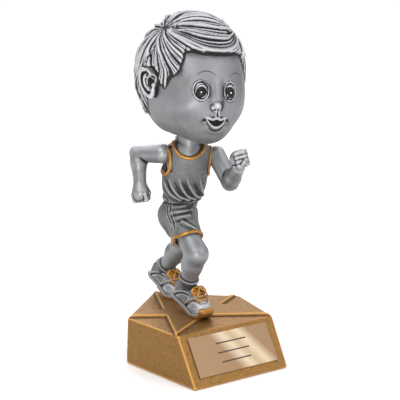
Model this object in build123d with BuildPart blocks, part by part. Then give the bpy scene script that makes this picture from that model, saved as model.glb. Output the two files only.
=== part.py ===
from build123d import *
import os
from math import cos, radians, sin

# Bobblehead runner award: a cast figure on a five-sided base with a raised star.
# Millimetres, +Z up. The figure and the name plate face -Y, and the figure's right side is -X.
# The origin is the middle of the felt face that the award rests on.

# ---- base ----
FELT_THICKNESS = 1.2
FELT_PROUD = 0.3            # how far the felt stands below the casting's rim
FELT_MARGIN = 3.0           # rim left round the felt's pocket
GLUE_GAP = 0.05             # radial room for glue round pins, dowels and plugs
SUNK_TOP = 20.0             # height of the sunk triangles between the star's arms
STAR_RISE = 1.2
STAR_TOP = SUNK_TOP + STAR_RISE
TOP_FRONT = (25.4, -22.7)   # half width and Y of the top's front edge
TOP_SIDE = (29.4, 9.9)      # half width and Y of the top's side corners
FOOT_FRONT = (24.1, -36.0)
FOOT_SIDE = (31.2, 8.2)
BACK_Y = 36.0               # the rear corner, above and below

# ---- name plate on the sloping front ----
PLATE_SIZE = (40.5, 17.3)
PLATE_RAISE = 1.1           # up the slope from the middle of the front
PLATE_THICKNESS = 0.5
TAPE_THICKNESS = 0.2
TAPE_MARGIN = 0.5
PLATE_CORNER = 0.4

# ---- shoes: heel and ball of the sole, in the shoe's own length ----
RIGHT_HEEL = Vector(-3.4, 10.0, 25.9)
RIGHT_BALL = Vector(-3.1, -7.0, STAR_TOP)
LEFT_HEEL = Vector(2.0, 39.3, 27.8)
LEFT_BALL = Vector(2.6, 22.8, STAR_TOP)
SHOE_HALF_WIDTH = 4.8
HEEL_RADIUS = 4.0
HEEL_OVERHANG = 0.6
BALL_AT = 17.0
TOE_RADIUS = 4.3
TOE_AT = 20.9
SHOE_PROFILE = [
    (0.4, 0.0), (17.6, 0.0), (23.4, 2.4), (25.2, 4.2), (23.8, 7.0),
    (17.4, 9.2), (12.8, 12.2), (2.6, 11.0), (-0.5, 7.0), (-0.6, 2.2),
]
PROFILE_ROUND = 0.9
FOOT_PIN_RADIUS = 0.9
FOOT_PIN_DEPTH = 9.0        # into the base
FOOT_PIN_RISE = 5.0         # into the shoe
RIGHT_PIN_AT = (-3.2, -6.0)
LEFT_PIN_AT = (2.7, 21.5)

# ---- legs and shorts ----
RIGHT_LEG = [Vector(-4.2, -1.2, 35.0), Vector(-5.0, -8.4, 49.6), Vector(-4.6, -0.6, 59.0)]
LEFT_LEG = [Vector(2.2, 29.8, 33.0), Vector(3.0, 14.8, 47.5), Vector(2.4, 11.8, 56.0)]
LEG_RADII = [3.8, 5.0, 5.8]
SHORTS_TOP = 71.5
SHORTS_SECTIONS = [
    (58.0, -2.4, 10.0, 8.8, 8.2),
    (64.0, -2.6, 9.8, 9.2, 8.4),
    (SHORTS_TOP, -2.4, 8.6, 8.6, 7.6),
]
RIGHT_SHORT_LEG = [Vector(-4.4, 4.0, 63.5), Vector(-5.0, -2.0, 57.0)]
LEFT_SHORT_LEG = [Vector(2.0, 10.2, 63.0), Vector(1.4, 12.6, 52.6)]
SHORT_LEG_RADII = [7.4, 7.0]

# ---- vest, neck and waist ----
# height, centre X, centre Y, half width, half depth, turn about Z in degrees
VEST_SECTIONS = [
    (SHORTS_TOP, -2.2, 7.4, 9.5, 7.9, -8.0),
    (77.0, -2.5, 5.2, 9.5, 7.7, -16.0),
    (84.5, -2.9, 3.2, 10.4, 7.6, -26.0),
    (91.0, -2.7, 2.0, 9.4, 6.8, -30.0),
    (95.5, -2.4, 2.2, 7.4, 5.2, -30.0),
]
WAIST_DOWEL_RADIUS = 2.0
WAIST_DOWEL_AT = (-2.4, 8.2)
WAIST_DOWEL_REACH = 6.0
NECK_AT = (-1.8, 2.5)
NECK_RADIUS = 5.2
NECK_FOOT = 84.0
NECK_TOP = 101.0

# ---- arms ----
RIGHT_ARM = [Vector(-11.6, 6.6, 91.2), Vector(-18.6, 17.2, 90.0), Vector(-20.7, 12.4, 77.8)]
LEFT_ARM = [Vector(6.8, -4.2, 91.4), Vector(9.4, -12.0, 80.0), Vector(7.2, -21.6, 88.2)]
ARM_RADII = [4.0, 3.4, 2.5]
RIGHT_FIST = Vector(-21.6, 10.6, 73.8)
LEFT_FIST = Vector(5.4, -25.4, 93.0)
FIST_RADIUS = 3.7
SHOULDER_DOWEL_RADIUS = 1.2
SHOULDER_DOWEL_REACH = 5.0  # to each side of the shoulder's face
SHOULDER_LINE = Vector(cos(radians(-30)), sin(radians(-30)), 0)

# ---- spring and its seats ----
SEAT_FLANGE = (5.4, 1.2)    # radius and thickness
SPIGOT = (3.2, 3.8)         # radius and length
SPRING_LENGTH = 12.0
SPRING_RADIUS = 4.4         # to the middle of the wire
WIRE_RADIUS = 0.6
SPRING_TURNS = 8            # nearly close-wound, so it bends and twists but doesn't compress
DISC_RADIUS = 9.0
DISC_THICKNESS = 2.0

# ---- head ----
HEAD_CENTRE = Vector(-1.3, 2.0, 127.2)
HEAD_RADIUS = 24.0
HEAD_HALF_HEIGHT = 25.6
HEAD_ROLL = 8.4             # degrees, towards +X
JAW_CENTRE = Vector(-1.9, -5.1, 118.0)
JAW_RADIUS = 20.0
CHIN_CENTRE = Vector(-3.5, -14.8, 107.8)
CHIN_RADIUS = 9.3
SPRING_BORE_RADIUS = 11.5   # blind bore from below, with room for the spring and the neck as the head rocks

SPRING_FOOT = NECK_TOP + SEAT_FLANGE[1]
SPRING_HEAD = SPRING_FOOT + SPRING_LENGTH
CAP_TOP = SPRING_HEAD + SEAT_FLANGE[1]
DISC_TOP = CAP_TOP + DISC_THICKNESS

os.makedirs("parts", exist_ok=True)


def write(builder, name):
    """Labels a finished piece and writes its file."""
    builder.part.label = name
    export_step(builder.part, f"parts/{name}.step")


def five_corners(front, side):
    """The base's corners: front left, front right, right, back, left."""
    return [(-front[0], front[1]), front, side, (0, BACK_Y), (-side[0], side[1])]


def crossing(a, b, c, d):
    """Where line a-b meets line c-d."""
    ab = (b[0] - a[0], b[1] - a[1])
    cd = (d[0] - c[0], d[1] - c[1])
    share = ((c[0] - a[0]) * cd[1] - (c[1] - a[1]) * cd[0]) / (ab[0] * cd[1] - ab[1] * cd[0])
    return (a[0] + share * ab[0], a[1] + share * ab[1])


def star_outline(tips):
    """Tips and inner corners of the star whose arms end at the given tips."""
    points = []
    for i in range(5):
        points.append(tips[i])
        points.append(crossing(tips[i], tips[(i + 2) % 5], tips[i - 1], tips[(i + 1) % 5]))
    return points


def limb(joints, radii):
    """Adds a rounded, tapering limb through the joints to the part being built."""
    for i in range(len(joints) - 1):
        along = joints[i + 1] - joints[i]
        with BuildSketch(Plane(origin=joints[i], z_dir=along)) as near:
            Circle(radii[i])
        with BuildSketch(Plane(origin=joints[i + 1], z_dir=along)) as far:
            Circle(radii[i + 1])
        loft([near.sketch, far.sketch])
    for joint, radius in zip(joints, radii):
        with Locations(joint):
            Sphere(radius)


def rod(start, end, radius, mode=Mode.ADD):
    """Adds or cuts a round rod from start to end in the part being built."""
    with BuildSketch(Plane(origin=start, z_dir=end - start)) as section:
        Circle(radius)
    extrude(section.sketch, amount=(end - start).length, mode=mode)


def sole_directions(heel, ball):
    """Forward along a shoe's sole, and up from it."""
    forward = (ball - heel).normalized()
    up = (Vector(0, 0, 1) - forward * forward.Z).normalized()
    return forward, up


def upright(at, low, high):
    """The two ends of a vertical rod."""
    return Vector(at[0], at[1], low), Vector(at[0], at[1], high)


RIGHT_PIN = upright(RIGHT_PIN_AT, SUNK_TOP - FOOT_PIN_DEPTH, STAR_TOP + FOOT_PIN_RISE)
LEFT_PIN = upright(LEFT_PIN_AT, SUNK_TOP - FOOT_PIN_DEPTH, STAR_TOP + FOOT_PIN_RISE)
WAIST_DOWEL = upright(WAIST_DOWEL_AT, SHORTS_TOP - WAIST_DOWEL_REACH, SHORTS_TOP + WAIST_DOWEL_REACH)
NECK_LINE = upright(NECK_AT, NECK_FOOT, NECK_TOP)
RIGHT_DOWEL = (
    RIGHT_ARM[0] + SHOULDER_LINE * SHOULDER_DOWEL_REACH,
    RIGHT_ARM[0] - SHOULDER_LINE * (SHOULDER_DOWEL_REACH / 2),
)
LEFT_DOWEL = (
    LEFT_ARM[0] - SHOULDER_LINE * SHOULDER_DOWEL_REACH,
    LEFT_ARM[0] + SHOULDER_LINE * (SHOULDER_DOWEL_REACH / 2),
)


# ---- base casting: tapering five-sided block with the star in relief ----
front_slope = Vector(0, TOP_FRONT[1] - FOOT_FRONT[1], SUNK_TOP - FELT_PROUD).normalized()
front_normal = Vector(1, 0, 0).cross(front_slope)
front_middle = Vector(0, (TOP_FRONT[1] + FOOT_FRONT[1]) / 2, (SUNK_TOP + FELT_PROUD) / 2)
plate_middle = front_middle + front_slope * PLATE_RAISE
front_plane = Plane(origin=plate_middle, x_dir=(1, 0, 0), z_dir=front_normal)

with BuildPart() as base_casting:
    with BuildSketch(Plane.XY.offset(FELT_PROUD)):
        Polygon(*five_corners(FOOT_FRONT, FOOT_SIDE), align=None)
    with BuildSketch(Plane.XY.offset(SUNK_TOP)):
        Polygon(*five_corners(TOP_FRONT, TOP_SIDE), align=None)
    loft(ruled=True)
    with BuildSketch(Plane.XY.offset(SUNK_TOP)):
        Polygon(*star_outline(five_corners(TOP_FRONT, TOP_SIDE)), align=None)
    extrude(amount=STAR_RISE)
    with BuildSketch(Plane.XY.offset(FELT_PROUD)):
        Polygon(*five_corners(FOOT_FRONT, FOOT_SIDE), align=None)
        offset(amount=-FELT_MARGIN, kind=Kind.INTERSECTION, mode=Mode.REPLACE)
    extrude(amount=FELT_THICKNESS - FELT_PROUD, mode=Mode.SUBTRACT)
    rod(*RIGHT_PIN, FOOT_PIN_RADIUS + GLUE_GAP, Mode.SUBTRACT)
    rod(*LEFT_PIN, FOOT_PIN_RADIUS + GLUE_GAP, Mode.SUBTRACT)
write(base_casting, "base_casting")

# ---- felt pad in the pocket under the base ----
with BuildPart() as base_felt_pad:
    with BuildSketch():
        Polygon(*five_corners(FOOT_FRONT, FOOT_SIDE), align=None)
        offset(amount=-FELT_MARGIN - GLUE_GAP, kind=Kind.INTERSECTION, mode=Mode.REPLACE)
    extrude(amount=FELT_THICKNESS)
write(base_felt_pad, "base_felt_pad")

# ---- name plate and the tape behind it ----
with BuildPart() as name_plate_tape:
    with BuildSketch(front_plane):
        Rectangle(PLATE_SIZE[0] - 2 * TAPE_MARGIN, PLATE_SIZE[1] - 2 * TAPE_MARGIN)
    extrude(amount=TAPE_THICKNESS)
write(name_plate_tape, "name_plate_tape")

with BuildPart() as name_plate:
    with BuildSketch(front_plane.offset(TAPE_THICKNESS)):
        RectangleRounded(PLATE_SIZE[0], PLATE_SIZE[1], PLATE_CORNER)
    extrude(amount=PLATE_THICKNESS)
write(name_plate, "name_plate")


# ---- shoes ----
def make_shoe(heel, ball, pin):
    """One shoe: its side profile within its outline seen from above, with the pin's hole."""
    forward, up = sole_directions(heel, ball)
    with BuildPart() as shoe:
        with BuildSketch(Plane(origin=heel, x_dir=forward, z_dir=forward.cross(up))):
            with BuildLine():
                Polyline(*SHOE_PROFILE, close=True)
            make_face()
            fillet(vertices(), PROFILE_ROUND)
        extrude(amount=SHOE_HALF_WIDTH, both=True)
        with BuildSketch(Plane(origin=heel - up * 5, x_dir=forward, z_dir=up)):
            with Locations((HEEL_RADIUS - HEEL_OVERHANG, 0)):
                Circle(HEEL_RADIUS)
            with Locations((BALL_AT, 0)):
                Circle(SHOE_HALF_WIDTH)
            with Locations((TOE_AT, 0)):
                Circle(TOE_RADIUS)
            make_hull()
        extrude(amount=25, mode=Mode.INTERSECT)
        rod(*pin, FOOT_PIN_RADIUS + GLUE_GAP, Mode.SUBTRACT)
    return shoe


right_shoe = make_shoe(RIGHT_HEEL, RIGHT_BALL, RIGHT_PIN)
write(right_shoe, "right_shoe")
left_shoe = make_shoe(LEFT_HEEL, LEFT_BALL, LEFT_PIN)
write(left_shoe, "left_shoe")

# ---- steel pins that hold the shoes to the base ----
with BuildPart() as right_foot_pin:
    rod(*RIGHT_PIN, FOOT_PIN_RADIUS)
write(right_foot_pin, "right_foot_pin")

with BuildPart() as left_foot_pin:
    rod(*LEFT_PIN, FOOT_PIN_RADIUS)
write(left_foot_pin, "left_foot_pin")

# ---- shorts ----
with BuildPart() as shorts:
    for height, x, y, half_width, half_depth in SHORTS_SECTIONS:
        with BuildSketch(Plane.XY.offset(height)):
            with Locations((x, y)):
                Ellipse(half_width, half_depth)
    loft()
    for leg in (RIGHT_SHORT_LEG, LEFT_SHORT_LEG):
        with BuildSketch(Plane(origin=leg[0], z_dir=leg[1] - leg[0])) as hip:
            Circle(SHORT_LEG_RADII[0])
        with BuildSketch(Plane(origin=leg[1], z_dir=leg[1] - leg[0])) as hem:
            Circle(SHORT_LEG_RADII[1])
        loft([hip.sketch, hem.sketch])
    split(bisect_by=Plane.XY.offset(SHORTS_TOP), keep=Keep.BOTTOM)
    rod(*WAIST_DOWEL, WAIST_DOWEL_RADIUS + GLUE_GAP, Mode.SUBTRACT)
write(shorts, "shorts")


# ---- legs, from the shoe's collar to the shorts' hem ----
def make_leg(joints, shoe):
    """One bare leg, ending face to face on its shoe and inside its hem."""
    with BuildPart() as leg:
        limb(joints, LEG_RADII)
        add(shoe.part, mode=Mode.SUBTRACT)
        add(shorts.part, mode=Mode.SUBTRACT)
    return leg


right_leg = make_leg(RIGHT_LEG, right_shoe)
write(right_leg, "right_leg")
left_leg = make_leg(LEFT_LEG, left_shoe)
write(left_leg, "left_leg")

# ---- vest ----
with BuildPart() as vest:
    for height, x, y, half_width, half_depth, turn in VEST_SECTIONS:
        with BuildSketch(Plane.XY.offset(height)):
            with Locations((x, y)):
                Ellipse(half_width, half_depth, rotation=turn)
    loft()
    rod(*NECK_LINE, NECK_RADIUS + GLUE_GAP, Mode.SUBTRACT)
    rod(*WAIST_DOWEL, WAIST_DOWEL_RADIUS + GLUE_GAP, Mode.SUBTRACT)
    rod(*RIGHT_DOWEL, SHOULDER_DOWEL_RADIUS + GLUE_GAP, Mode.SUBTRACT)
    rod(*LEFT_DOWEL, SHOULDER_DOWEL_RADIUS + GLUE_GAP, Mode.SUBTRACT)
write(vest, "vest")

with BuildPart() as waist_dowel:
    rod(*WAIST_DOWEL, WAIST_DOWEL_RADIUS)
write(waist_dowel, "waist_dowel")

# ---- neck, a plug glued in the vest's collar ----
with BuildPart() as neck:
    rod(*NECK_LINE, NECK_RADIUS)
write(neck, "neck")


# ---- arms and shoulder dowels ----
def make_arm(joints, fist, dowel):
    """One bare arm with its fist, cut to the vest's side, with the dowel's hole."""
    with BuildPart() as arm:
        limb(joints + [fist], ARM_RADII + [FIST_RADIUS])
        add(vest.part, mode=Mode.SUBTRACT)
        rod(*dowel, SHOULDER_DOWEL_RADIUS + GLUE_GAP, Mode.SUBTRACT)
    return arm


right_arm = make_arm(RIGHT_ARM, RIGHT_FIST, RIGHT_DOWEL)
write(right_arm, "right_arm")
left_arm = make_arm(LEFT_ARM, LEFT_FIST, LEFT_DOWEL)
write(left_arm, "left_arm")

with BuildPart() as right_shoulder_dowel:
    rod(*RIGHT_DOWEL, SHOULDER_DOWEL_RADIUS)
write(right_shoulder_dowel, "right_shoulder_dowel")

with BuildPart() as left_shoulder_dowel:
    rod(*LEFT_DOWEL, SHOULDER_DOWEL_RADIUS)
write(left_shoulder_dowel, "left_shoulder_dowel")

# ---- spring and its two flanged seats ----
with BuildPart() as spring_seat:
    rod(*upright(NECK_AT, NECK_TOP, SPRING_FOOT), SEAT_FLANGE[0])
    rod(*upright(NECK_AT, SPRING_FOOT, SPRING_FOOT + SPIGOT[1]), SPIGOT[0])
write(spring_seat, "spring_seat")

with BuildPart() as spring_cap:
    rod(*upright(NECK_AT, SPRING_HEAD, CAP_TOP), SEAT_FLANGE[0])
    rod(*upright(NECK_AT, SPRING_HEAD - SPIGOT[1], SPRING_HEAD), SPIGOT[0])
write(spring_cap, "spring_cap")

wire_rise = SPRING_LENGTH - 2 * WIRE_RADIUS
with BuildPart() as bobble_spring:
    with BuildLine() as coil:
        Helix(
            pitch=wire_rise / SPRING_TURNS,
            height=wire_rise,
            radius=SPRING_RADIUS,
            center=(NECK_AT[0], NECK_AT[1], SPRING_FOOT + WIRE_RADIUS),
        )
    with BuildSketch(Plane(origin=coil.line @ 0, z_dir=coil.line % 0)):
        Circle(WIRE_RADIUS)
    sweep(path=coil.line)
write(bobble_spring, "bobble_spring")

with BuildPart() as head_disc:
    rod(*upright(NECK_AT, CAP_TOP, DISC_TOP), DISC_RADIUS)
write(head_disc, "head_disc")

# ---- head: solid casting, bored from below for the neck and the spring ----
head_up = Vector(sin(radians(HEAD_ROLL)), 0, cos(radians(HEAD_ROLL)))
head_across = Vector(cos(radians(HEAD_ROLL)), 0, -sin(radians(HEAD_ROLL)))
head_plane = Plane(origin=HEAD_CENTRE, x_dir=head_across, z_dir=(0, -1, 0))

with BuildPart() as head_casting:
    with BuildSketch(head_plane):
        Ellipse(HEAD_RADIUS, HEAD_HALF_HEIGHT)
        Rectangle(2 * HEAD_RADIUS, 4 * HEAD_RADIUS, align=(Align.MAX, Align.CENTER), mode=Mode.SUBTRACT)
    revolve(axis=Axis(HEAD_CENTRE, head_up))
    with Locations(JAW_CENTRE):
        Sphere(JAW_RADIUS)
    with Locations(CHIN_CENTRE):
        Sphere(CHIN_RADIUS)
    rod(*upright(NECK_AT, NECK_FOOT, DISC_TOP), SPRING_BORE_RADIUS, Mode.SUBTRACT)
write(head_casting, "head_casting")
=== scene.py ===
import math

import bmesh
import bpy
import numpy as np
import openvdb as vdb
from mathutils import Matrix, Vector


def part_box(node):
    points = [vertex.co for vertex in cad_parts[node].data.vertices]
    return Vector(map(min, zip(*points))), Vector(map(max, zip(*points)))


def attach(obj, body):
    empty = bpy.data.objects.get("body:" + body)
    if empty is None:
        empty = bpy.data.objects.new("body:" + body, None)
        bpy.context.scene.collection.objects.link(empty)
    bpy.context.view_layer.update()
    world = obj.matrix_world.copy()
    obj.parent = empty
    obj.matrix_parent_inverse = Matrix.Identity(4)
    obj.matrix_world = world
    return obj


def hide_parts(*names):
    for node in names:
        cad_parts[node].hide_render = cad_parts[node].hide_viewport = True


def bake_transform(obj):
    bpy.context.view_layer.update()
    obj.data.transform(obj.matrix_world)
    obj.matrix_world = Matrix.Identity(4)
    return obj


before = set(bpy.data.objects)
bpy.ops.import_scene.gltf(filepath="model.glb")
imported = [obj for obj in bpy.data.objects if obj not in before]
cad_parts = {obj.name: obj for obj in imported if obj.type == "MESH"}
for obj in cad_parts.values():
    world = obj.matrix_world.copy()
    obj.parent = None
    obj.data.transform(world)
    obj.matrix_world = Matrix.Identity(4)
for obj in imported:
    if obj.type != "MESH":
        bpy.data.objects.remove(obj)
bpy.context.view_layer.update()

# Bobblehead runner award. Shapes are worked out in millimetres, in the frame's own axes, and become metres
# when a mesh is made. The figure and the name plate face -Y, and the figure's right side is -X.
MM = 0.001


# ---- camera, light and floor ----
CAMERA_AT = (-0.25991, -0.39123, 0.17494)
CAMERA_TURN = 33.83          # degrees the view is turned from +Y towards +X
CAMERA_DROP = 12.45          # degrees it looks down
CAMERA_LENS = 99.36

FLOOR_HALF = 14.0
# lights: place, size, power and colour
KEY_LIGHT = ((-0.66, -0.86, 0.14), 0.24, 3.2, (1.0, 0.99, 0.97))
FILL_LIGHT = ((0.45, -0.95, 0.60), 0.6, 1.4, (0.98, 0.99, 1.0))
TOP_LIGHT = ((-0.62, -0.38, 0.80), 0.40, 2.0, (1.0, 1.0, 1.0))
BACK_LIGHT = ((0.45, 0.85, 0.80), 0.7, 3.0, (1.0, 1.0, 1.0))
WORLD_TONES = (              # from straight down to straight up
    (0.0, (0.5, 0.5, 0.5)), (0.5, (0.22, 0.22, 0.225)), (0.64, (0.30, 0.30, 0.305)),
    (0.82, (0.80, 0.80, 0.81)), (1.0, (0.86, 0.86, 0.87)),
)
WORLD_STRENGTH = (1.30, 1.90)        # on the -X side and on the +X side
LIGHT_TARGET = (0.0, 0.0, 0.09)


def make_camera():
    camera = bpy.data.objects.new("camera", bpy.data.cameras.new("camera"))
    camera.location = CAMERA_AT
    camera.rotation_euler = (math.radians(90 - CAMERA_DROP), 0, math.radians(-CAMERA_TURN))
    camera.data.lens = CAMERA_LENS
    camera.data.sensor_width = 36
    camera.data.clip_start = 0.01
    bpy.context.scene.collection.objects.link(camera)
    bpy.context.scene.camera = camera


def area_light(name, place, size, power, colour):
    light = bpy.data.lights.new(name, "AREA")
    light.shape = "DISK"
    light.size = size
    light.energy = power
    light.color = colour
    lamp = bpy.data.objects.new(name, light)
    lamp.location = place
    lamp.rotation_euler = (Vector(LIGHT_TARGET) - Vector(place)).to_track_quat("-Z", "Y").to_euler()
    bpy.context.scene.collection.objects.link(lamp)


def make_studio():
    for name, light in (("key", KEY_LIGHT), ("fill", FILL_LIGHT), ("back", BACK_LIGHT), ("top", TOP_LIGHT)):
        area_light(f"{name}_light", *light)
    world = bpy.data.worlds.new("studio")
    world.use_nodes = True
    tree = world.node_tree
    tree.nodes.clear()
    toward = node(tree, "ShaderNodeTexCoord").outputs["Generated"]
    ramp = colour_ramp(tree, separate(tree, toward, "Z"), WORLD_TONES, low=-1.0)
    strength = remap(tree, separate(tree, toward, "X"), -1.0, 1.0, *WORLD_STRENGTH)
    background = node(tree, "ShaderNodeBackground", Color=ramp, Strength=strength)
    output = node(tree, "ShaderNodeOutputWorld")
    tree.links.new(background.outputs["Background"], output.inputs["Surface"])
    bpy.context.scene.world = world
    bpy.context.scene.view_settings.view_transform = "Standard"

    h = FLOOR_HALF
    corners = np.array([(-h, -h, 0), (h, -h, 0), (h, h, 0), (-h, h, 0)]) / MM
    floor = mesh_object("floor", corners, [(0, 1, 2, 3)])
    floor.data.materials.append(floor_finish())


# ---- node materials ----
def node(tree, kind, settings=None, **inputs):
    """Adds a node. An input is a value, or the output socket that feeds it."""
    made = tree.nodes.new(kind)
    for key, value in (settings or {}).items():
        setattr(made, key, value)
    for key, value in inputs.items():
        socket = made.inputs[key.replace("_", " ")]
        if isinstance(value, bpy.types.NodeSocket):
            tree.links.new(value, socket)
        elif socket.type == "RGBA":
            socket.default_value = (*value, 1.0)
        else:
            socket.default_value = value
    return made


def separate(tree, vector, axis):
    return node(tree, "ShaderNodeSeparateXYZ", Vector=vector).outputs[axis]


def remap(tree, value, low, high, to_low=0.0, to_high=1.0):
    made = node(tree, "ShaderNodeMapRange", Value=value)
    made.inputs["From Min"].default_value = low
    made.inputs["From Max"].default_value = high
    made.inputs["To Min"].default_value = to_low
    made.inputs["To Max"].default_value = to_high
    return made.outputs["Result"]


def maths(tree, operation, first, second):
    made = node(tree, "ShaderNodeMath", {"operation": operation})
    for socket, value in zip(made.inputs, (first, second)):
        if isinstance(value, bpy.types.NodeSocket):
            tree.links.new(value, socket)
        else:
            socket.default_value = value
    return made.outputs["Value"]


def colour_ramp(tree, value, stops, low=0.0, high=1.0):
    made = node(tree, "ShaderNodeValToRGB", Fac=remap(tree, value, low, high))
    ramp = made.color_ramp
    while len(ramp.elements) < len(stops):
        ramp.elements.new(0.5)
    for element, (place, colour) in zip(ramp.elements, stops):
        element.position = place
        element.color = (*colour, 1.0)
    return made.outputs["Color"]


def mix(tree, amount, first, second):
    return node(tree, "ShaderNodeMixRGB", Fac=amount, Color1=first, Color2=second).outputs["Color"]


def attribute(tree, name):
    return node(tree, "ShaderNodeAttribute", {"attribute_name": name}).outputs["Fac"]


def object_noise(tree, size_mm, detail=3.0, stretch=(1, 1, 1)):
    """Noise fixed to the object, with features of about size_mm."""
    place = node(tree, "ShaderNodeTexCoord").outputs["Object"]
    mapped = node(tree, "ShaderNodeMapping", Vector=place, Scale=stretch).outputs["Vector"]
    made = node(tree, "ShaderNodeTexNoise", Vector=mapped, Scale=1 / (size_mm * MM), Detail=detail)
    return made.outputs["Fac"]


def new_material(name):
    material = bpy.data.materials.new(name)
    material.use_nodes = True
    material.node_tree.nodes.clear()
    return material


def finish_with(material, bump=None, bump_mm=0.05, **shader):
    tree = material.node_tree
    surface = node(tree, "ShaderNodeBsdfPrincipled", **shader)
    if bump is not None:
        bumps = node(tree, "ShaderNodeBump", Height=bump, Distance=bump_mm * MM, Strength=1.0)
        tree.links.new(bumps.outputs["Normal"], surface.inputs["Normal"])
    output = node(tree, "ShaderNodeOutputMaterial")
    tree.links.new(surface.outputs["BSDF"], output.inputs["Surface"])
    return material


def floor_finish():
    material = new_material("floor_paper")
    tree = material.node_tree
    tone = mix(tree, object_noise(tree, 3.0), (0.93, 0.93, 0.93), (0.95, 0.95, 0.95))
    return finish_with(material, Base_Color=tone, Roughness=0.9)


CREST_SHINE = 2.3            # how much lighter a crest is painted than the open metal: wear that clears the wash, then a painted highlight


def antique_metal(name, light, dark, grain=0.3, grain_mm=0.35, rough=0.43, metal=0.74, bump_mm=0.02):
    """Metal-coloured finish with a dark wash left in its recesses and cleared from its crests, with painted
    shade on its undersides and a painted highlight on its crests.

    The piece's wash attribute is 1 in deep hollows or under painted shade, "crest" is 1 where the wash is
    cleared or a highlight is painted, and "ink" is 1 where it is painted black or a shadow is painted.
    """
    material = new_material(name)
    tree = material.node_tree
    fine = object_noise(tree, grain_mm, 2.0)
    patches = object_noise(tree, 5.0, 3.0)
    speckle = remap(tree, fine, 0.35, 0.65, -grain, grain)
    cloud = remap(tree, patches, 0.35, 0.65, -0.05, 0.06)
    # the wash in hollows, painted shade on undersides and about the face, grain and patches darken the metal
    darkening_and_grain = maths(tree, "ADD", maths(tree, "ADD", attribute(tree, "wash_and_shade"), speckle), cloud)
    darkening = maths(tree, "MAXIMUM", remap(tree, darkening_and_grain, 0.0, 1.0), attribute(tree, "ink"))
    shine = tuple(min(1.0, CREST_SHINE * c) for c in light)
    dulled = tuple(0.72 * a + 0.28 * b for a, b in zip(light, dark))
    base = colour_ramp(tree, darkening, [(0.0, light), (0.25, dulled), (0.75, dark), (1.0, dark)])
    # crests: wear that clears the wash, lifted past the metal's own colour as a painted highlight
    base = mix(tree, attribute(tree, "crest"), base, shine)
    roughness = remap(tree, darkening, 0.0, 1.0, rough, min(1.0, rough + 0.35))
    metallic = remap(tree, darkening, 0.0, 0.8, metal, 0.15)
    return finish_with(material, fine, bump_mm, Base_Color=base, Roughness=roughness, Metallic=metallic)


SILVER = (0.27, 0.274, 0.282)
CLOTH_SILVER = (0.19, 0.193, 0.197)
BLACK_WASH = (0.012, 0.012, 0.013)
GOLD_PAINT = (0.46, 0.22, 0.05)
GOLD_WASH = (0.13, 0.05, 0.012)
BASE_GOLD = (0.305, 0.155, 0.038)
BASE_WASH = (0.075, 0.034, 0.010)
SOLE_GOLD = (0.30, 0.14, 0.033)
# the plate's tan, with pale and middle tones for its painted reflection bands
PLATE_TAN, PLATE_REFLECTED_PALE, PLATE_REFLECTED_MIDDLE = (0.29, 0.18, 0.095), (0.60, 0.49, 0.34), (0.45, 0.33, 0.20)
PLATE_REFLECTION_BANDS = (
    (0.0, PLATE_TAN), (0.40, PLATE_TAN), (0.53, PLATE_REFLECTED_PALE), (0.63, PLATE_REFLECTED_MIDDLE),
    (0.74, PLATE_REFLECTED_PALE), (0.86, PLATE_TAN), (1.0, PLATE_TAN),
)
PLATE_REFLECTION_SPAN = (-0.012, 0.030)    # metres across the plate that the bands run over
PLATE_REFLECTION_SLANT = 0.8


def gloss_black(name):
    material = new_material(name)
    tree = material.node_tree
    tone = mix(tree, object_noise(tree, 0.8), (0.004, 0.004, 0.004), (0.012, 0.012, 0.012))
    return finish_with(material, Base_Color=tone, Roughness=0.35, Specular_IOR_Level=0.25)


def plain_finish(name, first, second, size_mm, rough, metal=0.0, bump_mm=0.02):
    """A finish whose tone wanders between two colours."""
    material = new_material(name)
    tree = material.node_tree
    pattern = object_noise(tree, size_mm)
    tone = mix(tree, remap(tree, pattern, 0.3, 0.7), first, second)
    return finish_with(material, pattern, bump_mm, Base_Color=tone, Roughness=rough, Metallic=metal)


def plate_finish(name):
    """Champagne sheet with soft slanting bands of painted reflection across it and a fine brushed grain."""
    material = new_material(name)
    tree = material.node_tree
    place = node(tree, "ShaderNodeTexCoord").outputs["Object"]
    slant = maths(tree, "MULTIPLY", separate(tree, place, "Z"), PLATE_REFLECTION_SLANT)
    across = maths(tree, "ADD", separate(tree, place, "X"), slant)
    # painted reflection: slanting light bands across the sheet
    bands = colour_ramp(tree, across, PLATE_REFLECTION_BANDS, *PLATE_REFLECTION_SPAN)
    brushed = object_noise(tree, 0.4, 2.0, (1.0, 0.06, 0.06))
    base = mix(tree, remap(tree, brushed, 0.3, 0.7, 0.0, 0.12), bands, PLATE_TAN)
    return finish_with(material, brushed, 0.002, Base_Color=base, Roughness=0.34, Metallic=0.55)


# ---- meshes ----
def mesh_object(name, points, faces):
    """A smooth mesh from points in millimetres."""
    mesh = bpy.data.meshes.new(name)
    faces = [tuple(int(i) for i in f) for f in faces] if not isinstance(faces, np.ndarray) else faces
    mesh.from_pydata(np.asarray(points, float) * MM, [], faces)
    mesh.update()
    mesh.shade_smooth()
    made = bpy.data.objects.new(name, mesh)
    bpy.context.scene.collection.objects.link(made)
    return made


def set_attribute(piece, name, values):
    layer = piece.data.attributes.new(name, "FLOAT", "POINT")
    layer.data.foreach_set("value", np.asarray(values, np.float32))


def mesh_arrays(mesh):
    points = np.zeros(len(mesh.vertices) * 3, np.float32)
    mesh.vertices.foreach_get("co", points)
    normals = np.zeros(len(mesh.vertices) * 3, np.float32)
    mesh.vertex_normals.foreach_get("vector", normals)
    edges = np.zeros(len(mesh.edges) * 2, np.int32)
    mesh.edges.foreach_get("vertices", edges)
    return points.reshape(-1, 3) / MM, normals.reshape(-1, 3), edges.reshape(-1, 2)


def step01(value, low, high):
    """0 below low, 1 above high, smooth between."""
    t = np.clip((value - low) / (high - low), 0, 1)
    return t * t * (3 - 2 * t)


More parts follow.
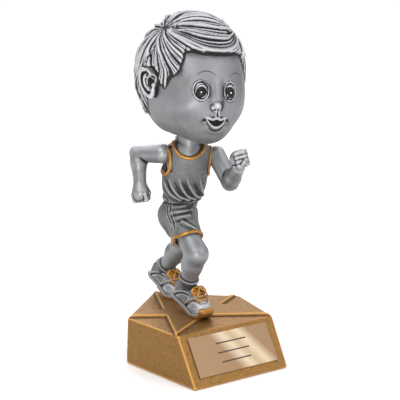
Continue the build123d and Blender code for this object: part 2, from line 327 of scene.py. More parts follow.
def bell(*offs):
    """1 where every off is 0, falling smoothly to 0 round it."""
    return np.exp(-sum(off**2 for off in offs))


def unit(vectors):
    """One vector, or a row of them, brought to length 1."""
    vectors = np.asarray(vectors, float)
    return vectors / np.maximum(np.linalg.norm(vectors, axis=-1, keepdims=True), 1e-9)


def far_along(x, y, z, origin, axis):
    """How far a point lies from origin along axis."""
    return (x - origin[0]) * axis[0] + (y - origin[1]) * axis[1] + (z - origin[2]) * axis[2]


def wash_shade_and_highlights(piece, rounds=((4, 0.018), (30, 0.10)), crest=0.45, under=0.42, over=0.0, added_shade_and_wash=0.0, added_highlight=0.0):
    """Marks recesses and crests by how far each point lies under or over its smoothed surroundings.

    under paints shade on what faces down and over paints a highlight on what faces up; the added shade and
    wash and the added highlight add to each point.
    """
    points, normals, edges = mesh_arrays(piece.data)
    ends = np.concatenate([edges[:, 0], edges[:, 1]])
    others = np.concatenate([edges[:, 1], edges[:, 0]])
    count = np.maximum(np.bincount(ends, minlength=len(points)), 1)
    smooth = points.astype(float)
    wash_and_shade = np.zeros(len(points))
    high = np.zeros(len(points))
    done = 0
    for turns, depth in rounds:
        for _ in range(turns - done):
            total = np.stack([np.bincount(ends, smooth[others, i], len(points)) for i in range(3)], 1)
            smooth = 0.5 * smooth + 0.5 * total / count[:, None]
        done = turns
        sunk = np.einsum("ij,ij->i", smooth - points, normals) / depth
        wash_and_shade = np.maximum(wash_and_shade, np.clip(sunk, 0, 1))
        high = np.maximum(high, np.clip(-sunk - 0.5, 0, 1))
    # painted shade: what faces down is darkened as if the light from above missed it
    painted_underside_shade = under * step01(-normals[:, 2], -0.15, 0.95)
    set_attribute(piece, "wash_and_shade", np.clip(wash_and_shade + painted_underside_shade + added_shade_and_wash, 0, 1))
    # painted highlight: what faces up is lightened as if lit from above
    painted_top_highlight = over * step01(normals[:, 2], 0.25, 0.95)
    set_attribute(piece, "crest", np.clip(crest * high + painted_top_highlight + added_highlight, 0, 1))


# ---- solid fields: negative inside, about a distance in millimetres ----
def length(x, y, z):
    return np.sqrt(x * x + y * y + z * z)


def ball(x, y, z, centre, radius):
    return length(x - centre[0], y - centre[1], z - centre[2]) - radius


def egg(x, y, z, centre, radii):
    u, v, w = x - centre[0], y - centre[1], z - centre[2]
    k0 = length(u / radii[0], v / radii[1], w / radii[2])
    k1 = length(u / radii[0] ** 2, v / radii[1] ** 2, w / radii[2] ** 2)
    return k0 * (k0 - 1) / np.maximum(k1, 1e-6)


def bone(x, y, z, start, end, r0, r1):
    """A rod with round ends whose radius runs from r0 to r1."""
    a = np.array(start, float)
    along = np.array(end, float) - a
    t = np.clip(far_along(x, y, z, a, along) / along.dot(along), 0, 1)
    off = length(x - a[0] - t * along[0], y - a[1] - t * along[1], z - a[2] - t * along[2])
    return off - (r0 + (r1 - r0) * t)


def join(first, second, blend):
    """Union with a fillet of about blend."""
    overlap = np.maximum(blend - np.abs(first - second), 0) / blend
    return np.minimum(first, second) - overlap * overlap * blend / 4


def cut(solid, tool, blend=0.3):
    """solid less tool, with a rounded edge."""
    return -join(-solid, tool, blend)


def smooth_curve(z, places, values):
    """A smooth curve through values at places, held flat past its ends."""
    places, values = np.asarray(places, float), np.asarray(values, float)
    slopes = np.gradient(values, places)
    i = np.clip(np.searchsorted(places, z) - 1, 0, len(places) - 2)
    span = places[i + 1] - places[i]
    t = np.clip((z - places[i]) / span, 0, 1)
    start = (2 * t**3 - 3 * t**2 + 1) * values[i] + (t**3 - 2 * t**2 + t) * span * slopes[i]
    return start + (3 * t**2 - 2 * t**3) * values[i + 1] + (t**3 - t**2) * span * slopes[i + 1]


def lofted(x, y, z, sections):
    """Stacked ellipses (z, centre x, centre y, half width, half depth, turn in degrees)."""
    table = np.array(sections, float)
    cx, cy, hw, hd, turn = (smooth_curve(z, table[:, 0], table[:, i]) for i in range(1, 6))
    c, s = np.cos(np.radians(turn)), np.sin(np.radians(turn))
    u = (x - cx) * c + (y - cy) * s
    v = (y - cy) * c - (x - cx) * s
    return (np.sqrt((u / hw) ** 2 + (v / hd) ** 2) - 1) * np.minimum(hw, hd)


def slope_of(field, points, eps=0.06):
    """The field's gradient at points."""
    grads = []
    for axis in range(3):
        ahead, behind = points.copy(), points.copy()
        ahead[:, axis] += eps
        behind[:, axis] -= eps
        grads.append((field(*ahead.T) - field(*behind.T)) / (2 * eps))
    return np.stack(grads, 1)


def settle(points, field, lift=0.0, rounds=8, reach=0.6):
    """Moves points onto the field's surface, or lift millimetres outside it."""
    points = np.array(points, float)
    for _ in range(rounds):
        slope = slope_of(field, points)
        step = (field(*points.T) - lift) / np.maximum((slope**2).sum(1), 0.2)
        points -= np.clip(step, -reach, reach)[:, None] * slope
    return points


def sculpt(name, field, low, high, voxel):
    """Makes a mesh of the field's surface inside a box."""
    x, y, z = (np.arange(a, b + voxel, voxel) for a, b in zip(low, high))
    values = field(x[:, None, None], y[None, :, None], z[None, None, :])
    grid = vdb.FloatGrid(3 * voxel)
    grid.copyFromArray(np.ascontiguousarray(values, np.float32))
    points, quads = grid.convertToQuads(0.0)
    points = np.array(points, float) * voxel + np.array([x[0], y[0], z[0]])
    points = settle(points, field, rounds=1, reach=0.5 * voxel)
    return mesh_object(name, points, np.array(quads))


def close_up(rough, fine, reach):
    """A field that works out its fine form only near the rough one's surface."""

    def field(x, y, z):
        d = np.array(rough(x, y, z))
        near = np.abs(d) < reach
        x, y, z = (np.broadcast_to(v, d.shape)[near] for v in (x, y, z))
        d[near] = fine(x, y, z, d[near])
        return d

    return field


# ---- bands and cords laid on a surface ----
def curve_through(points, spacing, closed=False):
    """Points evenly along a smooth curve through the given ones."""
    points = np.array(points, float)
    if closed:
        points = np.concatenate([points[-2:], points, points[:3]])
    else:
        points = np.concatenate([[2 * points[0] - points[1]], points, [2 * points[-1] - points[-2]]])
    run = []
    for i in range(1, len(points) - 2):
        p0, p1, p2, p3 = points[i - 1 : i + 3]
        n = max(2, int(np.ceil(np.linalg.norm(p2 - p1) / spacing)))
        t = (np.arange(n) / n)[:, None]
        square, cube = 2 * p0 - 5 * p1 + 4 * p2 - p3, 3 * p1 - p0 - 3 * p2 + p3
        run.append(0.5 * (2 * p1 + (p2 - p0) * t + square * t**2 + cube * t**3))
    run.append(points[-2:-1])
    run = np.concatenate(run)
    if closed:
        n = max(2, int(np.ceil(np.linalg.norm(points[2] - points[1]) / spacing)))
        return run[n:-1]
    return run


def tube(name, path, across, high=None, up=None, closed=False, sides=10):
    """A tube along path, across wide and high tall (radii); up gives each point's own upward direction."""
    path = np.asarray(path, float)
    n = len(path)
    across = np.broadcast_to(across, n)
    high = across if high is None else np.broadcast_to(high, n)
    ahead = np.roll(path, -1, 0) - np.roll(path, 1, 0)
    if not closed:
        ahead[0], ahead[-1] = path[1] - path[0], path[-1] - path[-2]
    ahead = unit(ahead)
    up = np.broadcast_to(np.array([0.0, 0.0, 1.0]) if up is None else up, (n, 3))
    side = unit(np.cross(ahead, up))
    top = np.cross(side, ahead)
    turn = np.arange(sides) * 2 * np.pi / sides
    ring = (
        path[:, None]
        + np.cos(turn)[None, :, None] * (side * across[:, None])[:, None]
        + np.sin(turn)[None, :, None] * (top * high[:, None])[:, None]
    )
    points = ring.reshape(-1, 3)
    faces = []
    for i in range(n if closed else n - 1):
        for j in range(sides):
            a, b = i * sides, ((i + 1) % n) * sides
            faces.append((a + j, a + (j + 1) % sides, b + (j + 1) % sides, b + j))
    if not closed:
        faces.append(tuple(range(sides))[::-1])
        faces.append(tuple((n - 1) * sides + j for j in range(sides)))
    return mesh_object(name, points, [face[::-1] for face in faces])


def piping(name, guide, field, across, high, closed=False, lift=0.0, spacing=0.35, taper=False):
    """A flattened cord that lies on a field's surface along a guide curve."""
    path = settle(curve_through(guide, spacing, closed), field, lift)
    up = unit(slope_of(field, path))
    if taper:
        ends = np.sin(np.linspace(0.02, 0.98, len(path)) * np.pi) ** 0.5
        across, high = across * ends, high * ends
    return tube(name, path, across, high, up, closed)


def joined(name, pieces):
    """One object from several."""
    points, faces, start = [], [], 0
    for piece in pieces:
        co = mesh_arrays(piece.data)[0]
        points.append(co)
        faces += [tuple(start + v for v in p.vertices) for p in piece.data.polygons]
        start += len(co)
        bpy.data.objects.remove(piece)
    return mesh_object(name, np.concatenate(points), faces)


def place(piece, body, slot, finish, *nodes):
    """Gives a finished piece its body, material and the CAD nodes it stands for; the material slot is not
    used.
    """
    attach(piece, body)
    dress(piece, slot, finish, *nodes)


def dress(piece, slot, finish, *nodes):
    piece.data.materials.clear()
    piece.data.materials.append(finish)
    if nodes:
        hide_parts(*nodes)


# ---- head ----
HEAD_CENTRE = (-1.3, 2.0, 127.2)
HEAD_ROLL = 8.4              # degrees the skull leans towards +X
FACE_ROLL = 4.6              # the face and hair lean less
FACE_TURN = 7.75             # degrees the face looks towards -X
JAW = ((-1.9, -5.1, 118.0), 19.6)
CHIN = ((-3.5, -14.8, 107.8), 9.0)
CHEEKS = ((0, 0.64, -13.2), (18.2, 14.8, 15.0))
FACE_FRONT = (8.0, 14.0)     # how far ahead of the centre the features come in
GUIDE_RADIUS = 25.8          # a ball just outside the face, where guide curves start
HAIR_RADIUS = 24.5
NECK_AT, NECK_RADIUS, NECK_TOP = (-1.8, 2.5), 5.2, 101.0
BORE_RADIUS, BORE_END = 11.5, 117.4
HEAD_BOX, HEAD_VOXEL = ((-30, -30, 96), (28, 30, 156)), 0.30


def axes_of(roll, turn):
    """Rows are the local right, back and up directions."""
    r, t = math.radians(roll), math.radians(turn)
    right = np.array([math.cos(r), 0, -math.sin(r)])
    back = np.array([0.0, 1.0, 0.0])
    up = np.array([math.sin(r), 0, math.cos(r)])
    return np.stack([right * math.cos(t) - back * math.sin(t), back * math.cos(t) + right * math.sin(t), up])


SKULL_AXES = axes_of(HEAD_ROLL, 0)
FACE_AXES = axes_of(FACE_ROLL, FACE_TURN)


def local(x, y, z, axes, centre=HEAD_CENTRE):
    u, v, w = x - centre[0], y - centre[1], z - centre[2]
    return [a[0] * u + a[1] * v + a[2] * w for a in axes]


def from_face(points):
    """Points given in the face's axes, in the frame's."""
    return np.asarray(points, float) @ FACE_AXES + np.array(HEAD_CENTRE)


def smooth_head(x, y, z):
    """Skull, jaw and chin with no features."""
    d = egg(*local(x, y, z, SKULL_AXES), (0, 0.3, 0), (22.3, 22.8, 24.0))
    d = join(d, ball(x, y, z, *JAW), 4.0)
    d = join(d, egg(*local(x, y, z, FACE_AXES), *CHEEKS), 3.0)
    return join(d, ball(x, y, z, *CHIN), 5.0)


# eyes: (place across, place up, half width, half height) of each oval of the left eye, mirrored for the right
EYE_RING = (6.5, -6.1, 2.62, 3.38)
EYE_LID = (6.45, -6.4, 2.32, 2.95)
EYE_BLACK = (6.1, -6.8, 2.12, 2.55)
GLINT_RADIUS = 0.30
MOUTH_X = 0.6
GAZE = -0.35                 # both pupils look a little towards -X
MOUTH_TOP, MOUTH_FLOOR, MOUTH_HALF = -17.9, -20.4, 3.7


def oval(u, w, shape, side):
    """Under 1 inside the oval."""
    return np.sqrt(((u - side * shape[0]) / shape[2]) ** 2 + ((w - shape[1]) / shape[3]) ** 2)


# cheeks and the hollows either side of each eye: height, place across and up, half width, half height
FACE_SWELLS = ((0.9, 11.5, -14.0, 5.5, 4.5), (-0.30, 3.0, -5.0, 2.0, 4.5), (-0.30, 12.0, -6.5, 2.6, 5.0))


def face_form(u, v, w, d):
    """Adds the features to the head's field; u is across, v back and w up, in the face's axes."""
    front = step01(-v, *FACE_FRONT)
    for height, across, up, wide, tall in FACE_SWELLS:
        for side in (-1, 1):
            d = d - front * height * bell((u - side * across) / wide, (w - up) / tall)
    # eyes: a raised rim, then steps down to the black oval
    for side in (-1, 1):
        ring, lid = oval(u, w, EYE_RING, side), oval(u, w, EYE_LID, side)
        d = d - front * 0.20 * bell((ring - 1.12) / 0.07)
        d = d + front * 0.34 * bell((ring - 0.99) / 0.09)
        white, bulge = 1 - step01(ring, 0.80, 0.98), np.sqrt(np.clip(1 - lid**2, 0, 1))
        d = d - front * (0.30 * white + 0.35 * bulge)
        d = d + front * 0.10 * bell((lid - 0.98) / 0.10)
    # nose: bridge, tip and wings
    nose = bone(u, v, w, (0.0, -23.4, -3.0), (0.1, -25.8, -11.0), 0.8, 0.95)
    d = join(d, nose, 2.6)
    d = join(d, egg(u, v, w, (0.2, -26.9, -12.0), (1.4, 1.7, 1.15)), 1.1)
    for side in (-1, 1):
        d = join(d, ball(u, v, w, (0.1 + side * 1.25, -26.0, -12.7), 0.80), 0.9)
        d = cut(d, egg(u, v, w, (0.1 + side * 0.8, -26.9, -13.7), (0.5, 0.9, 0.5)), 0.2)
    # lips: a bowed upper lip, an open mouth, a full lower lip and the groove under it
    m = u - MOUTH_X
    d = d - front * 0.35 * bell((w + 17.3 - 0.35 * np.cos(m * 1.6)) / 0.65, m / 3.6)
    d = d + front * 0.40 * bell((m - 0.1) / 0.42, (w + 15.7) / 1.2)
    bottom = MOUTH_FLOOR + (MOUTH_TOP - MOUTH_FLOOR) * (m / MOUTH_HALF) ** 2
    d = d - front * 0.42 * bell((w - bottom + 0.55) / 0.60) * (1 - step01(np.abs(m), 3.3, 4.4))
    under = -22.3 + 0.12 * m**2
    d = d + front * 0.14 * bell((w - under) / 0.55) * (1 - step01(np.abs(m), 1.8, 4.0))
    for side in (-1, 1):
        d = d + front * 0.40 * bell((side * m - 4.9) / 0.8, (w + 18.0) / 0.7)
    opening = np.maximum(w - MOUTH_TOP - 0.25 * np.cos(m * 1.7), (bottom - w) * 0.75)
    d = cut(d, np.maximum(opening, -(d + 1.5)), 0.18)
    return d


# hair: strands follow lines that leave the parting, and either sweep over the top to the far temple or fall
HAIR_EGG = ((0, 0.3, -0.3), (23.1, 23.2, 24.3))
PARTING = (-78, 50)          # azimuth and elevation in the face's axes, degrees
TEMPLE = (58, 48)
PARTING_PULL, TEMPLE_PULL = 2.0, 1.5
SMOOTH_LOCK_AT = (-10, 28)
HAIRLINE = (
    (-180, -50), (-110, -50), (-94, -50), (-88, -46), (-85, -34), (-83.5, -10), (-82, 1), (-66, 3), (-61, -8),
    (-57, -15), (-52, -18), (-49, -14), (-45, -8), (-38, 0), (-35.5, 6), (-34, 15), (-32, 22), (-22, 23),
    (-13, 21.5), (11, 21), (26, 22), (38, 22), (46, 19), (49, 8), (52, -8), (56, -15), (60, -10), (66, 3),
    (82, 1), (83.5, -10), (85, -34), (88, -46), (94, -50), (110, -50), (180, -50),
)
EAR_AT = (-22.0, -7.5, -4.6)
EAR_OUT = (-0.93, -0.32, -0.17)
EAR_UP = (-0.28, 0.20, 0.94)
LEFT_EAR_IN = 1.8            # how much nearer the skull the left ear lies


def direction(azimuth, elevation):
    a, e = math.radians(azimuth), math.radians(elevation)
    return math.sin(a) * math.cos(e), -math.cos(a) * math.cos(e), math.sin(e)


def flat_map(u, v, w):
    """The sphere of directions laid flat from below, as one complex number."""
    r = np.maximum(length(u, v, w), 1e-6)
    return (u + 1j * v) / (r + np.maximum(w, -0.97 * r))


PARTING_MAP = flat_map(*direction(*PARTING))
TEMPLE_MAP = flat_map(*direction(*TEMPLE))


def strands(u, v, w):
    """Each point's strand number, place along it, and how fast the number changes per millimetre."""
    swing = math.radians(17) * step01(-w, -2.0, 9.0) * u / np.sqrt(u * u + 30.0)
    c, s = np.cos(swing), np.sin(swing)
    z = flat_map(u * c + v * s, v * c - u * s, w)
    to_parting, to_temple = z - PARTING_MAP, z - TEMPLE_MAP
    number = PARTING_PULL * np.angle(to_parting) - TEMPLE_PULL * np.angle(to_temple)
    along = PARTING_PULL * np.log(np.abs(to_parting) + 1e-4) - TEMPLE_PULL * np.log(np.abs(to_temple) + 1e-4)
    speed = np.abs(PARTING_PULL / to_parting - TEMPLE_PULL / to_temple)
    rate = speed * (1 + np.abs(z) ** 2) / (2 * length(u, v, w))
    return number, along, np.clip(rate, 0.01, 3.0)


def wrapped(angle):
    return (angle + np.pi) % (2 * np.pi) - np.pi


SMOOTH_LOCK = float(strands(*[24 * np.array([c]) for c in direction(*SMOOTH_LOCK_AT)])[0][0])


def hair_relief(u, v, w):
    """Height of locks and strands, in millimetres, and how much of a lock's crest a point is."""
    number, along, rate = strands(u, v, w)
    relief = np.zeros(np.shape(number))
    lock = np.zeros(np.shape(number))
    wander = 0.035 * np.sin(1.7 * along + 1.0) + 0.02 * np.sin(3.1 * along + 2 * number)
    for n in range(7):
        turns = 4 * 2**n
        spacing = 2 * np.pi / (turns * rate)
        phase = turns * number + wander * min(turns, 24) + 2.4 * n + 0.35 * np.sin(1.6 * along + n)
        crest = np.abs(np.cos(phase / 2))
        wide = bell(np.log(spacing / 4.6) / 0.50)
        strand = bell(np.log(spacing / 1.9) / 0.42)
        thin = bell(np.log(spacing / 0.95) / 0.38)
        relief += 1.35 * wide * (crest - 0.6) + 0.80 * strand * (crest - 0.6) + 0.22 * thin * (crest - 0.6)
        lock += (wide + 0.5 * strand) * (crest - 0.6)
    return relief, lock, number, rate


def fringe_lock(v, w, number, rate):
    """1 on the broad smooth lock along the front, falling off either side."""
    off = wrapped(number - SMOOTH_LOCK) / rate
    here = step01(-v, 4.0, 10.0) * step01(w, 4.0, 9.0)
    return here * bell(off / 2.0), off, here


HAIRLINE_TABLE = np.interp(np.arange(-180, 181), *zip(*HAIRLINE))
HAIRLINE_SLOPE = np.gradient(HAIRLINE_TABLE)


def hair_depth(u, v, w, lock):
    """Millimetres inside the hairline, negative outside it."""
    azimuth = np.degrees(np.arctan2(u, -v))
    elevation = np.degrees(np.arctan2(w, np.hypot(u, v)))
    line = np.interp(azimuth, np.arange(-180, 181), HAIRLINE_TABLE)
    steep = np.interp(azimuth, np.arange(-180, 181), HAIRLINE_SLOPE)
    per_degree = math.radians(1) * HAIR_RADIUS
    return (elevation - line) * per_degree / np.sqrt(1 + (0.8 * steep) ** 2) + 0.5 * lock


def hair_skull(u, v, w, smooth):
    """The surface the hair grows from, which stays just outside the skin down to the nape."""
    behind = step01(v, 2.0, 8.0)
    return np.minimum(egg(u, v, w, *HAIR_EGG), smooth - 0.7 * behind + 2.5 * (1 - behind))


def hair_form(u, v, w, smooth):
    """The hair as a field, before it is joined to the skin."""
    relief, lock, number, rate = hair_relief(u, v, w)
    broad, off, here = fringe_lock(v, w, number, rate)
    inside = hair_depth(u, v, w, lock)
    skull = hair_skull(u, v, w, smooth)
    to_parting = np.abs(flat_map(u, v, w) - PARTING_MAP) * 24
    swell = 1.2 * step01(to_parting, 1.0, 9.0) * step01(off, 1.0, 6.0) - 0.8 * bell(to_parting / 3.0)
    lip = 0.9 * here * step01(-off, -3.0, 3.0) * step01(w, 6, 9)
    calm = 1 - 0.92 * bell(off / 2.1) * here
    height = relief * calm + 1.15 * broad + np.where(here > 0, swell, swell * 0.7) + lip
    thickness = step01(inside, -0.35, 1.5)
    return skull - height * thickness + 3.4 * (1 - thickness)


def ear_form(u, v, w, side):
    """A flat cup with a rolled rim; side is -1 for the right ear."""
    out = unit(EAR_OUT)
    up = unit(np.array(EAR_UP) - np.dot(EAR_UP, out) * out)
    fore = np.cross(up, out)
    a, b, c = local(-side * u, v, w, (fore, up, out), EAR_AT)
    a = a * np.sign(-fore[1])
    c = c + (LEFT_EAR_IN if side > 0 else 0.0)
    narrow = 1 - 0.22 * step01(-b, 0.0, 6.0)
    edge = (np.sqrt((a / (3.9 * narrow)) ** 2 + (b / 6.0) ** 2) - 1) * 4.2
    plate = np.maximum(edge, np.maximum(c - 0.9, -c - 4.0))
    back_half = 1 - step01(a + 0.35 * b, 1.2, 2.8)
    rim = length(edge + 0.3, c - 1.25, 0 * c) - (0.35 + 0.55 * back_half)
    inner = length(edge + 2.25, c - 1.0, 0 * c) - (0.15 + 0.5 * back_half)
    d = join(plate, rim, 0.4)
    d = cut(d, length(edge + 1.25, c - 1.35, 0 * c) - 0.66 * back_half, 0.2)
    d = cut(d, egg(a, b, c, (3.5, 1.0, 1.3), (1.7, 1.5, 1.9)), 0.3)
    d = cut(d, egg(a, b, c, (1.5, -0.7, 1.1), (2.2, 2.6, 1.9)), 0.3)
    d = join(d, np.maximum(inner, a - 0.4), 0.3)
    return join(d, ball(a, b, c, (2.9, -1.8, 0.9), 0.85), 0.5)


def head_fine(x, y, z, rough):
    """Face, hair and ears near the surface."""
    u, v, w = local(x, y, z, FACE_AXES)
    smooth = smooth_head(x, y, z)
    d = join(face_form(u, v, w, smooth), hair_form(u, v, w, smooth), 0.25)
    for side in (-1, 1):
        d = join(d, ear_form(u, v, w, side), 0.3)
    return d


def bored(x, y, z, d):
    bore = np.maximum(np.hypot(x - NECK_AT[0], y - NECK_AT[1]) - BORE_RADIUS, z - BORE_END)
    return cut(d, bore, 0.8)


def rough_head(x, y, z):
    hair = egg(*local(x, y, z, FACE_AXES), *HAIR_EGG)
    return np.minimum(smooth_head(x, y, z), hair)


def head_field(x, y, z):
    return bored(x, y, z, close_up(rough_head, head_fine, 4.2)(x, y, z))


def face_shade_and_dark_spots(u, v, w, inside):
    """Painted shadow under the fringe and painted shade at the temples; darker about the mouth and the inner
    corners of the eyes.
    """
    front = step01(-v, *FACE_FRONT)
    # painted shadow on the forehead under the fringe
    soft = 0.30 * step01(inside, -3.4, -0.4) * step01(w, -3.5, 2.0)
    for side in (-1, 1):
        soft = soft + 0.26 * bell((u - side * 2.7) / 1.5, (w + 7.0) / 3.2)
        soft = soft + 0.34 * bell((u - MOUTH_X - side * 5.2) / 1.5, (w + 18.6) / 1.5)
        # painted shade at the temples
        soft = soft + 0.16 * bell((u - side * 13.0) / 3.6, (w + 3.0) / 7.0)
    soft = soft + 0.26 * bell((u - MOUTH_X) / 3.6, (w + 23.0) / 1.1)
    soft = soft + 0.24 * bell((u - MOUTH_X) / 2.4, (w + 14.9) / 0.9)
    return 1.5 * front * soft


def make_head(silver, black, white):
    head = sculpt("head_sculpt", head_field, *HEAD_BOX, HEAD_VOXEL)
    points, _, _ = mesh_arrays(head.data)
    u, v, w = local(*points.T, FACE_AXES)
    relief, lock, number, rate = hair_relief(u, v, w)
    broad = fringe_lock(v, w, number, rate)[0]
    inside = hair_depth(u, v, w, lock)
    hair = step01(inside, -0.4, 0.6) * step01(hair_skull(u, v, w, smooth_head(*points.T)), -1.9, -1.2)
    lips = step01(-v, *FACE_FRONT) * bell((u - MOUTH_X) / 4.5, (w + 19.0) / 2.6)
    # painted shade about the face, and the hair a little darker all over
    added_shade_and_wash = face_shade_and_dark_spots(u, v, w, inside) + 0.24 * hair
    # less painted highlight on the lips
    wash_shade_and_highlights(head, ((5, 0.022), (40, 0.13)), crest=0.80, added_shade_and_wash=added_shade_and_wash, added_highlight=-0.40 * lips)
    valley = step01(-relief, -0.52, -0.12) * hair * (1 - broad)
    sunk = -smooth_head(*points.T)
    front = step01(-v, 14.0, 18.0) * step01(-w, 9.0, 12.0)
    dark = step01(sunk, 0.35, 0.9) * front
    set_attribute(head, "ink", np.clip(0.85 * valley + dark, 0, 1))
    place(head, "head", "resin_skin", silver, "head_casting")

    def surface(a, b, c):
        u, v, w = local(a, b, c, FACE_AXES)
        return face_form(u, v, w, smooth_head(a, b, c))

    lines = []
    for side, tag in ((-1, "right"), (1, "left")):
        make_eye(side, tag, surface, black, white)
        lines.append(brow(side, surface))
    place(joined("brow_lines", lines), "head", "resin_skin", black)


def on_front(u, w):
    """Guide points in front of the face at given places across and up."""
    u, w = np.broadcast_arrays(np.asarray(u, float), np.asarray(w, float))
    return from_face(np.stack([u, -np.sqrt(np.maximum(GUIDE_RADIUS**2 - u**2 - 0.5 * w**2, 1)), w], -1))


def ring_line(name, shape, side, surface, width, lean, span=(0, 360)):
    """A line round an oval, thicker towards the angle lean."""
    turn = np.radians(np.arange(*span, 4.0))
    u = side * shape[0] + shape[2] * np.cos(turn)
    w = shape[1] + shape[3] * np.sin(turn)
    path = settle(on_front(u, w), surface)
    up = unit(slope_of(surface, path))
    across = width * (1 + 0.55 * np.cos(turn - math.radians(lean)))
    closed = span[1] - span[0] == 360
    if not closed:
        across = across * np.sin(np.linspace(0.03, 0.97, len(turn)) * np.pi) ** 0.5
    return tube(name, path, across, 0.5 * across, up, closed)


def make_eye(side, tag, surface, black, white):
    outer = ring_line(f"{tag}_eye_outer", EYE_RING, side, surface, 0.30, -20)
    lid = ring_line(f"{tag}_eye_lid", EYE_LID, side, surface, 0.13, 60, (-20, 200))
    place(joined(f"{tag}_eye_lines", [outer, lid]), "head", "resin_skin", black)
    pupil = (EYE_BLACK[0] + side * GAZE, *EYE_BLACK[1:])
    iris = dome(f"{tag}_eye", pupil, side, surface, 0.32)
    place(iris, "head", "resin_skin", black)
    shape = (*pupil[:2], GLINT_RADIUS, GLINT_RADIUS)
    glint = dome(f"{tag}_eye_glint", shape, side, lambda x, y, z: surface(x, y, z) - 0.28, 0.14)
    place(glint, "head", "resin_skin", white)


def dome(name, shape, side, surface, rise, rings=7, around=36):
    """A lens-shaped inlay that stands rise above the surface and reaches a little below it."""
    points, faces = [], []
    turn = np.arange(around) * 2 * np.pi / around
    for i in range(rings + 1):
        share = i / rings
        u = side * shape[0] + shape[2] * share * np.cos(turn)
        w = shape[1] + shape[3] * share * np.sin(turn)
        lift = rise * math.sqrt(max(0.0, 1 - share**2)) - 0.12 * share**6
        points.append(settle(on_front(u, w), surface, lift))
    points.append(settle(on_front(side * shape[0], shape[1] * np.ones(around)), surface, -0.35))
    for i in range(rings + 1):
        for j in range(around):
            k = (j + 1) % around
            faces.append((i * around + j, i * around + k, (i + 1) * around + k, (i + 1) * around + j))
    piece = mesh_object(name, np.concatenate(points), faces)
    weld(piece)
    return piece


def weld(piece):
    """Merges points that fall together and drops faces left with no area."""
    mesh = bmesh.new()
    mesh.from_mesh(piece.data)
    bmesh.ops.remove_doubles(mesh, verts=mesh.verts, dist=0.002 * MM)
    bmesh.ops.recalc_face_normals(mesh, faces=mesh.faces)
    mesh.to_mesh(piece.data)
    mesh.free()
    piece.data.shade_smooth()


RIGHT_BROW = ((-9.2, 0.4), (-7.2, 1.8), (-4.9, 2.5), (-2.4, 2.1), (-0.3, 0.6))
LEFT_BROW = ((7.4, 0.7), (9.0, 1.6), (10.9, 2.0), (12.8, 1.6), (14.4, 0.5))


def brow(side, surface):
    guide = RIGHT_BROW if side < 0 else LEFT_BROW
    return piping("brow", on_front(*zip(*guide)), surface, 0.17, 0.10, taper=True, spacing=0.25)


# ---- base: five-sided block with a raised star ----
TOP_FRONT, TOP_SIDE = (25.4, -22.7), (29.4, 9.9)
FOOT_FRONT, FOOT_SIDE = (24.1, -36.0), (31.2, 8.2)
BACK_Y = 36.0
SUNK_TOP, STAR_TOP, RIM = 20.0, 21.2, 0.3
BASE_BOX, BASE_VOXEL = ((-33, -38, -1), (33, 38, 23)), 0.40


def corners_of(front, side):
    return np.array([(-front[0], front[1]), front, side, (0.0, BACK_Y), (-side[0], side[1])])


def crossing(a, b, c, d):
    """Where the line through a and b meets the line through c and d."""
    t = np.linalg.solve(np.stack([b - a, c - d], 1), c - a)[0]
    return a + t * (b - a)


def star_points(corners):
    points = []
    for i in range(5):
        a, b = corners[i], corners[(i + 1) % 5]
        points += [a, crossing(a, corners[(i + 2) % 5], b, corners[(i + 4) % 5])]
    return np.array(points)


def outline_distance(x, y, points):
    """Distance from a closed outline, negative inside."""
    nearest = np.full(np.broadcast(x, y).shape, 1e9)
    inside = np.zeros(nearest.shape, bool)
    for a, b in zip(points, np.roll(points, -1, 0)):
        e = b - a
        t = np.clip(((x - a[0]) * e[0] + (y - a[1]) * e[1]) / e.dot(e), 0, 1)
        nearest = np.minimum(nearest, np.hypot(x - a[0] - t * e[0], y - a[1] - t * e[1]))
        crosses = (a[1] > y) != (b[1] > y)
        inside ^= crosses & (x < (b[0] - a[0]) * (y - a[1]) / (b[1] - a[1] + 1e-12) + a[0])
    return np.where(inside, -nearest, nearest)


def base_field(x, y, z):
    top, foot = corners_of(TOP_FRONT, TOP_SIDE), corners_of(FOOT_FRONT, FOOT_SIDE)
    block, sides = np.maximum(z - SUNK_TOP, RIM - z), -1e3
    for i in range(5):
        a, b, c = (*foot[i], RIM), (*foot[(i + 1) % 5], RIM), (*top[i], SUNK_TOP)
        side = far_along(x, y, z, a, unit(np.cross(np.subtract(b, a), np.subtract(c, a))))
        block, sides = -join(-block, -side, 0.7), np.maximum(sides, side)
    star = outline_distance(x, y, star_points(top)) + 0.35 * (z - SUNK_TOP)
    raised = -join(-np.maximum(star, SUNK_TOP - 1.5 - z), STAR_TOP - z, 0.45)
    return join(block, -join(-raised, -sides, 0.7), 0.2)


def make_base(gold):
    base = sculpt("star_base", base_field, *BASE_BOX, BASE_VOXEL)
    # painted highlight along the base's edges and the star's ridges
    wash_shade_and_highlights(base, ((4, 0.05), (14, 0.17)), crest=0.9, under=0.0)
    place(base, "figure", "resin_gold", gold, "base_casting")


RULE_LENGTHS = (15.5, 16.2, 15.0)
RULE_PITCH = 4.1


def make_plate_rules(ink):
    """Three plain engraved rules, where such a plate carries its lines."""
    low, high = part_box("name_plate")
    slope = unit((0, TOP_FRONT[1] - FOOT_FRONT[1], SUNK_TOP - RIM))
    out = np.array([0, -slope[2], slope[1]])
    middle = np.array([0, low.y + high.y, low.z + high.z]) / 2 / MM + out * 0.25
    rules = []
    for i, run in enumerate(RULE_LENGTHS):
        centre = middle + slope * (1 - i) * RULE_PITCH
        path = [centre + np.array([t * run, 0, 0]) for t in np.linspace(-0.5, 0.5, 9)]
        rules.append(tube(f"rule_{i}", path, 0.28, 0.05, out, sides=8))
    place(joined("engraved_rules", rules), "figure", "plate", ink)


